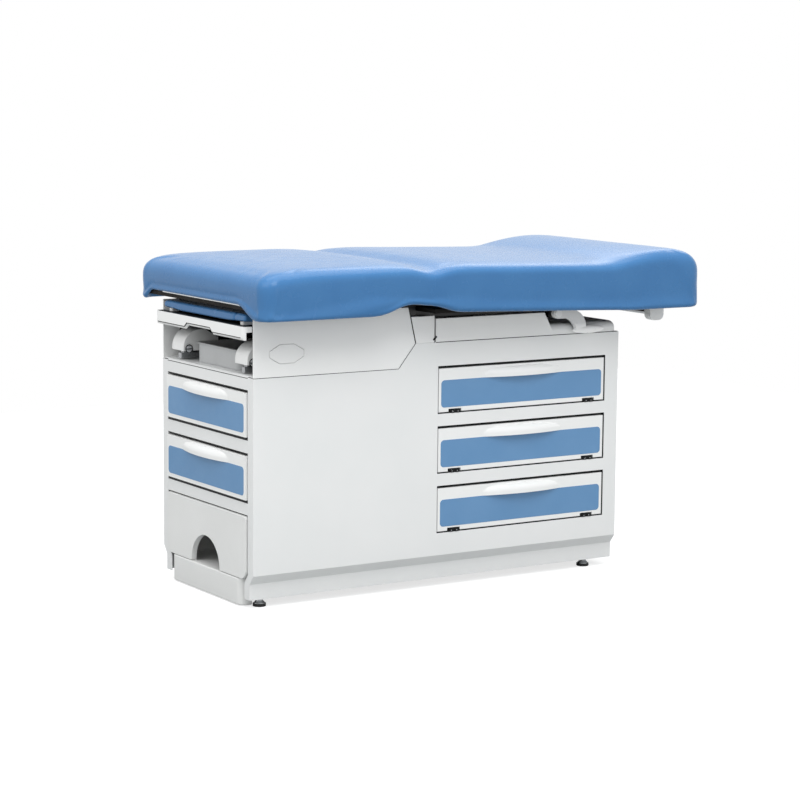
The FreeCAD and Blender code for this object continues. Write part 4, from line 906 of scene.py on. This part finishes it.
# Studio.
def make_floor():
    """Pale floor that catches the shadow and shows white to the camera."""
    floor = bpy.data.objects.new("floor", bpy.data.meshes.new("floor"))
    corners = [(x * FLOOR_REACH, y * FLOOR_REACH, 0) for x, y in ((-1, -1), (1, -1), (1, 1), (-1, 1))]
    floor.data.from_pydata(corners, [], [(0, 1, 2, 3)])
    scene.collection.objects.link(floor)
    material = bpy.data.materials.new("pale_floor")
    material.use_nodes = True
    tree = material.node_tree
    shader = tree.nodes["Principled BSDF"]
    shader.inputs["Base Color"].default_value = linear("ACAEAE")
    shader.inputs["Roughness"].default_value = 0.9
    shader.inputs["Specular IOR Level"].default_value = 0.1
    glow = tree.nodes.new("ShaderNodeEmission")
    path = tree.nodes.new("ShaderNodeLightPath")
    share = tree.nodes.new("ShaderNodeMath")
    share.operation = "MULTIPLY"
    share.inputs[1].default_value = FLOOR_GLOW
    tree.links.new(path.outputs["Is Camera Ray"], share.inputs[0])
    tree.links.new(share.outputs[0], glow.inputs["Strength"])
    both = tree.nodes.new("ShaderNodeAddShader")
    tree.links.new(shader.outputs["BSDF"], both.inputs[0])
    tree.links.new(glow.outputs["Emission"], both.inputs[1])
    tree.links.new(both.outputs["Shader"], tree.nodes["Material Output"].inputs["Surface"])
    floor.data.materials.append(material)


def make_world():
    """White for what the camera sees and gloss shows, and a plain level of light for the rest."""
    world = bpy.data.worlds.new("studio")
    scene.world = world
    world.use_nodes = True
    tree = world.node_tree
    background = tree.nodes["Background"]
    path = tree.nodes.new("ShaderNodeLightPath")
    seen = path.outputs["Is Camera Ray"]
    for name in ("Is Glossy Ray", "Is Transmission Ray"):
        either = tree.nodes.new("ShaderNodeMath")
        either.operation = "MAXIMUM"
        tree.links.new(seen, either.inputs[0])
        tree.links.new(path.outputs[name], either.inputs[1])
        seen = either.outputs[0]
    level = tree.nodes.new("ShaderNodeMapRange")
    level.inputs["To Min"].default_value = AMBIENT
    level.inputs["To Max"].default_value = 1.0
    tree.links.new(seen, level.inputs["Value"])
    tree.links.new(level.outputs["Result"], background.inputs["Strength"])
    background.inputs["Color"].default_value = (1, 1, 1, 1)


def add_light(name, place, target, size, power):
    light = bpy.data.lights.new(name, "AREA")
    light.shape = "DISK"
    light.size = size
    light.energy = power
    lamp = bpy.data.objects.new(name, light)
    lamp.location = place
    lamp.rotation_euler = (Vector(target) - Vector(place)).to_track_quat("-Z", "Y").to_euler()
    scene.collection.objects.link(lamp)


def make_camera():
    """Camera at the photograph's viewing angle."""
    data = bpy.data.cameras.new("camera")
    data.sensor_width = 36
    data.lens = 108.87
    camera = bpy.data.objects.new("camera", data)
    right = (0.84664, -0.53210, 0.00838)
    up = (0.06512, 0.11923, 0.99073)
    back = (-0.52817, -0.83825, 0.13559)
    place = (-3.421, -5.319, 1.314)
    rows = [(right[i], up[i], back[i], place[i]) for i in range(3)]
    camera.matrix_world = Matrix((*rows, (0, 0, 0, 1)))
    scene.collection.objects.link(camera)
    scene.camera = camera


make_top()
make_legrest_pad()
make_pad_spacers()
make_hem_binding()
make_bar_line()
make_cover_seam_shade()
make_cup_screws()
make_lever_caps()
make_foot_fittings()
make_glide_clips()
make_shade_strips()
make_pivot_clips()
finish_nodes()
make_floor()
make_world()
add_light("key", place=(-0.9, -2.9, 4.2), target=(0, 0, 0.45), size=2.6, power=98)
add_light("foot_fill", place=(-3.0, -0.6, 3.6), target=(0, 0, 0.45), size=3.0, power=46)
add_light("overhead", place=(0.2, 0.0, 4.2), target=(0, 0, 0.5), size=4.0, power=78)
add_light("far_softbox", place=(3.0, 2.6, 3.6), target=(0.2, -0.1, 0.8), size=3.0, power=36)
add_light("low_fill", place=(0.6, -4.6, 1.2), target=(0.1, 0, 0.6), size=2.0, power=8)
make_camera()
scene.view_settings.view_transform = "Standard"
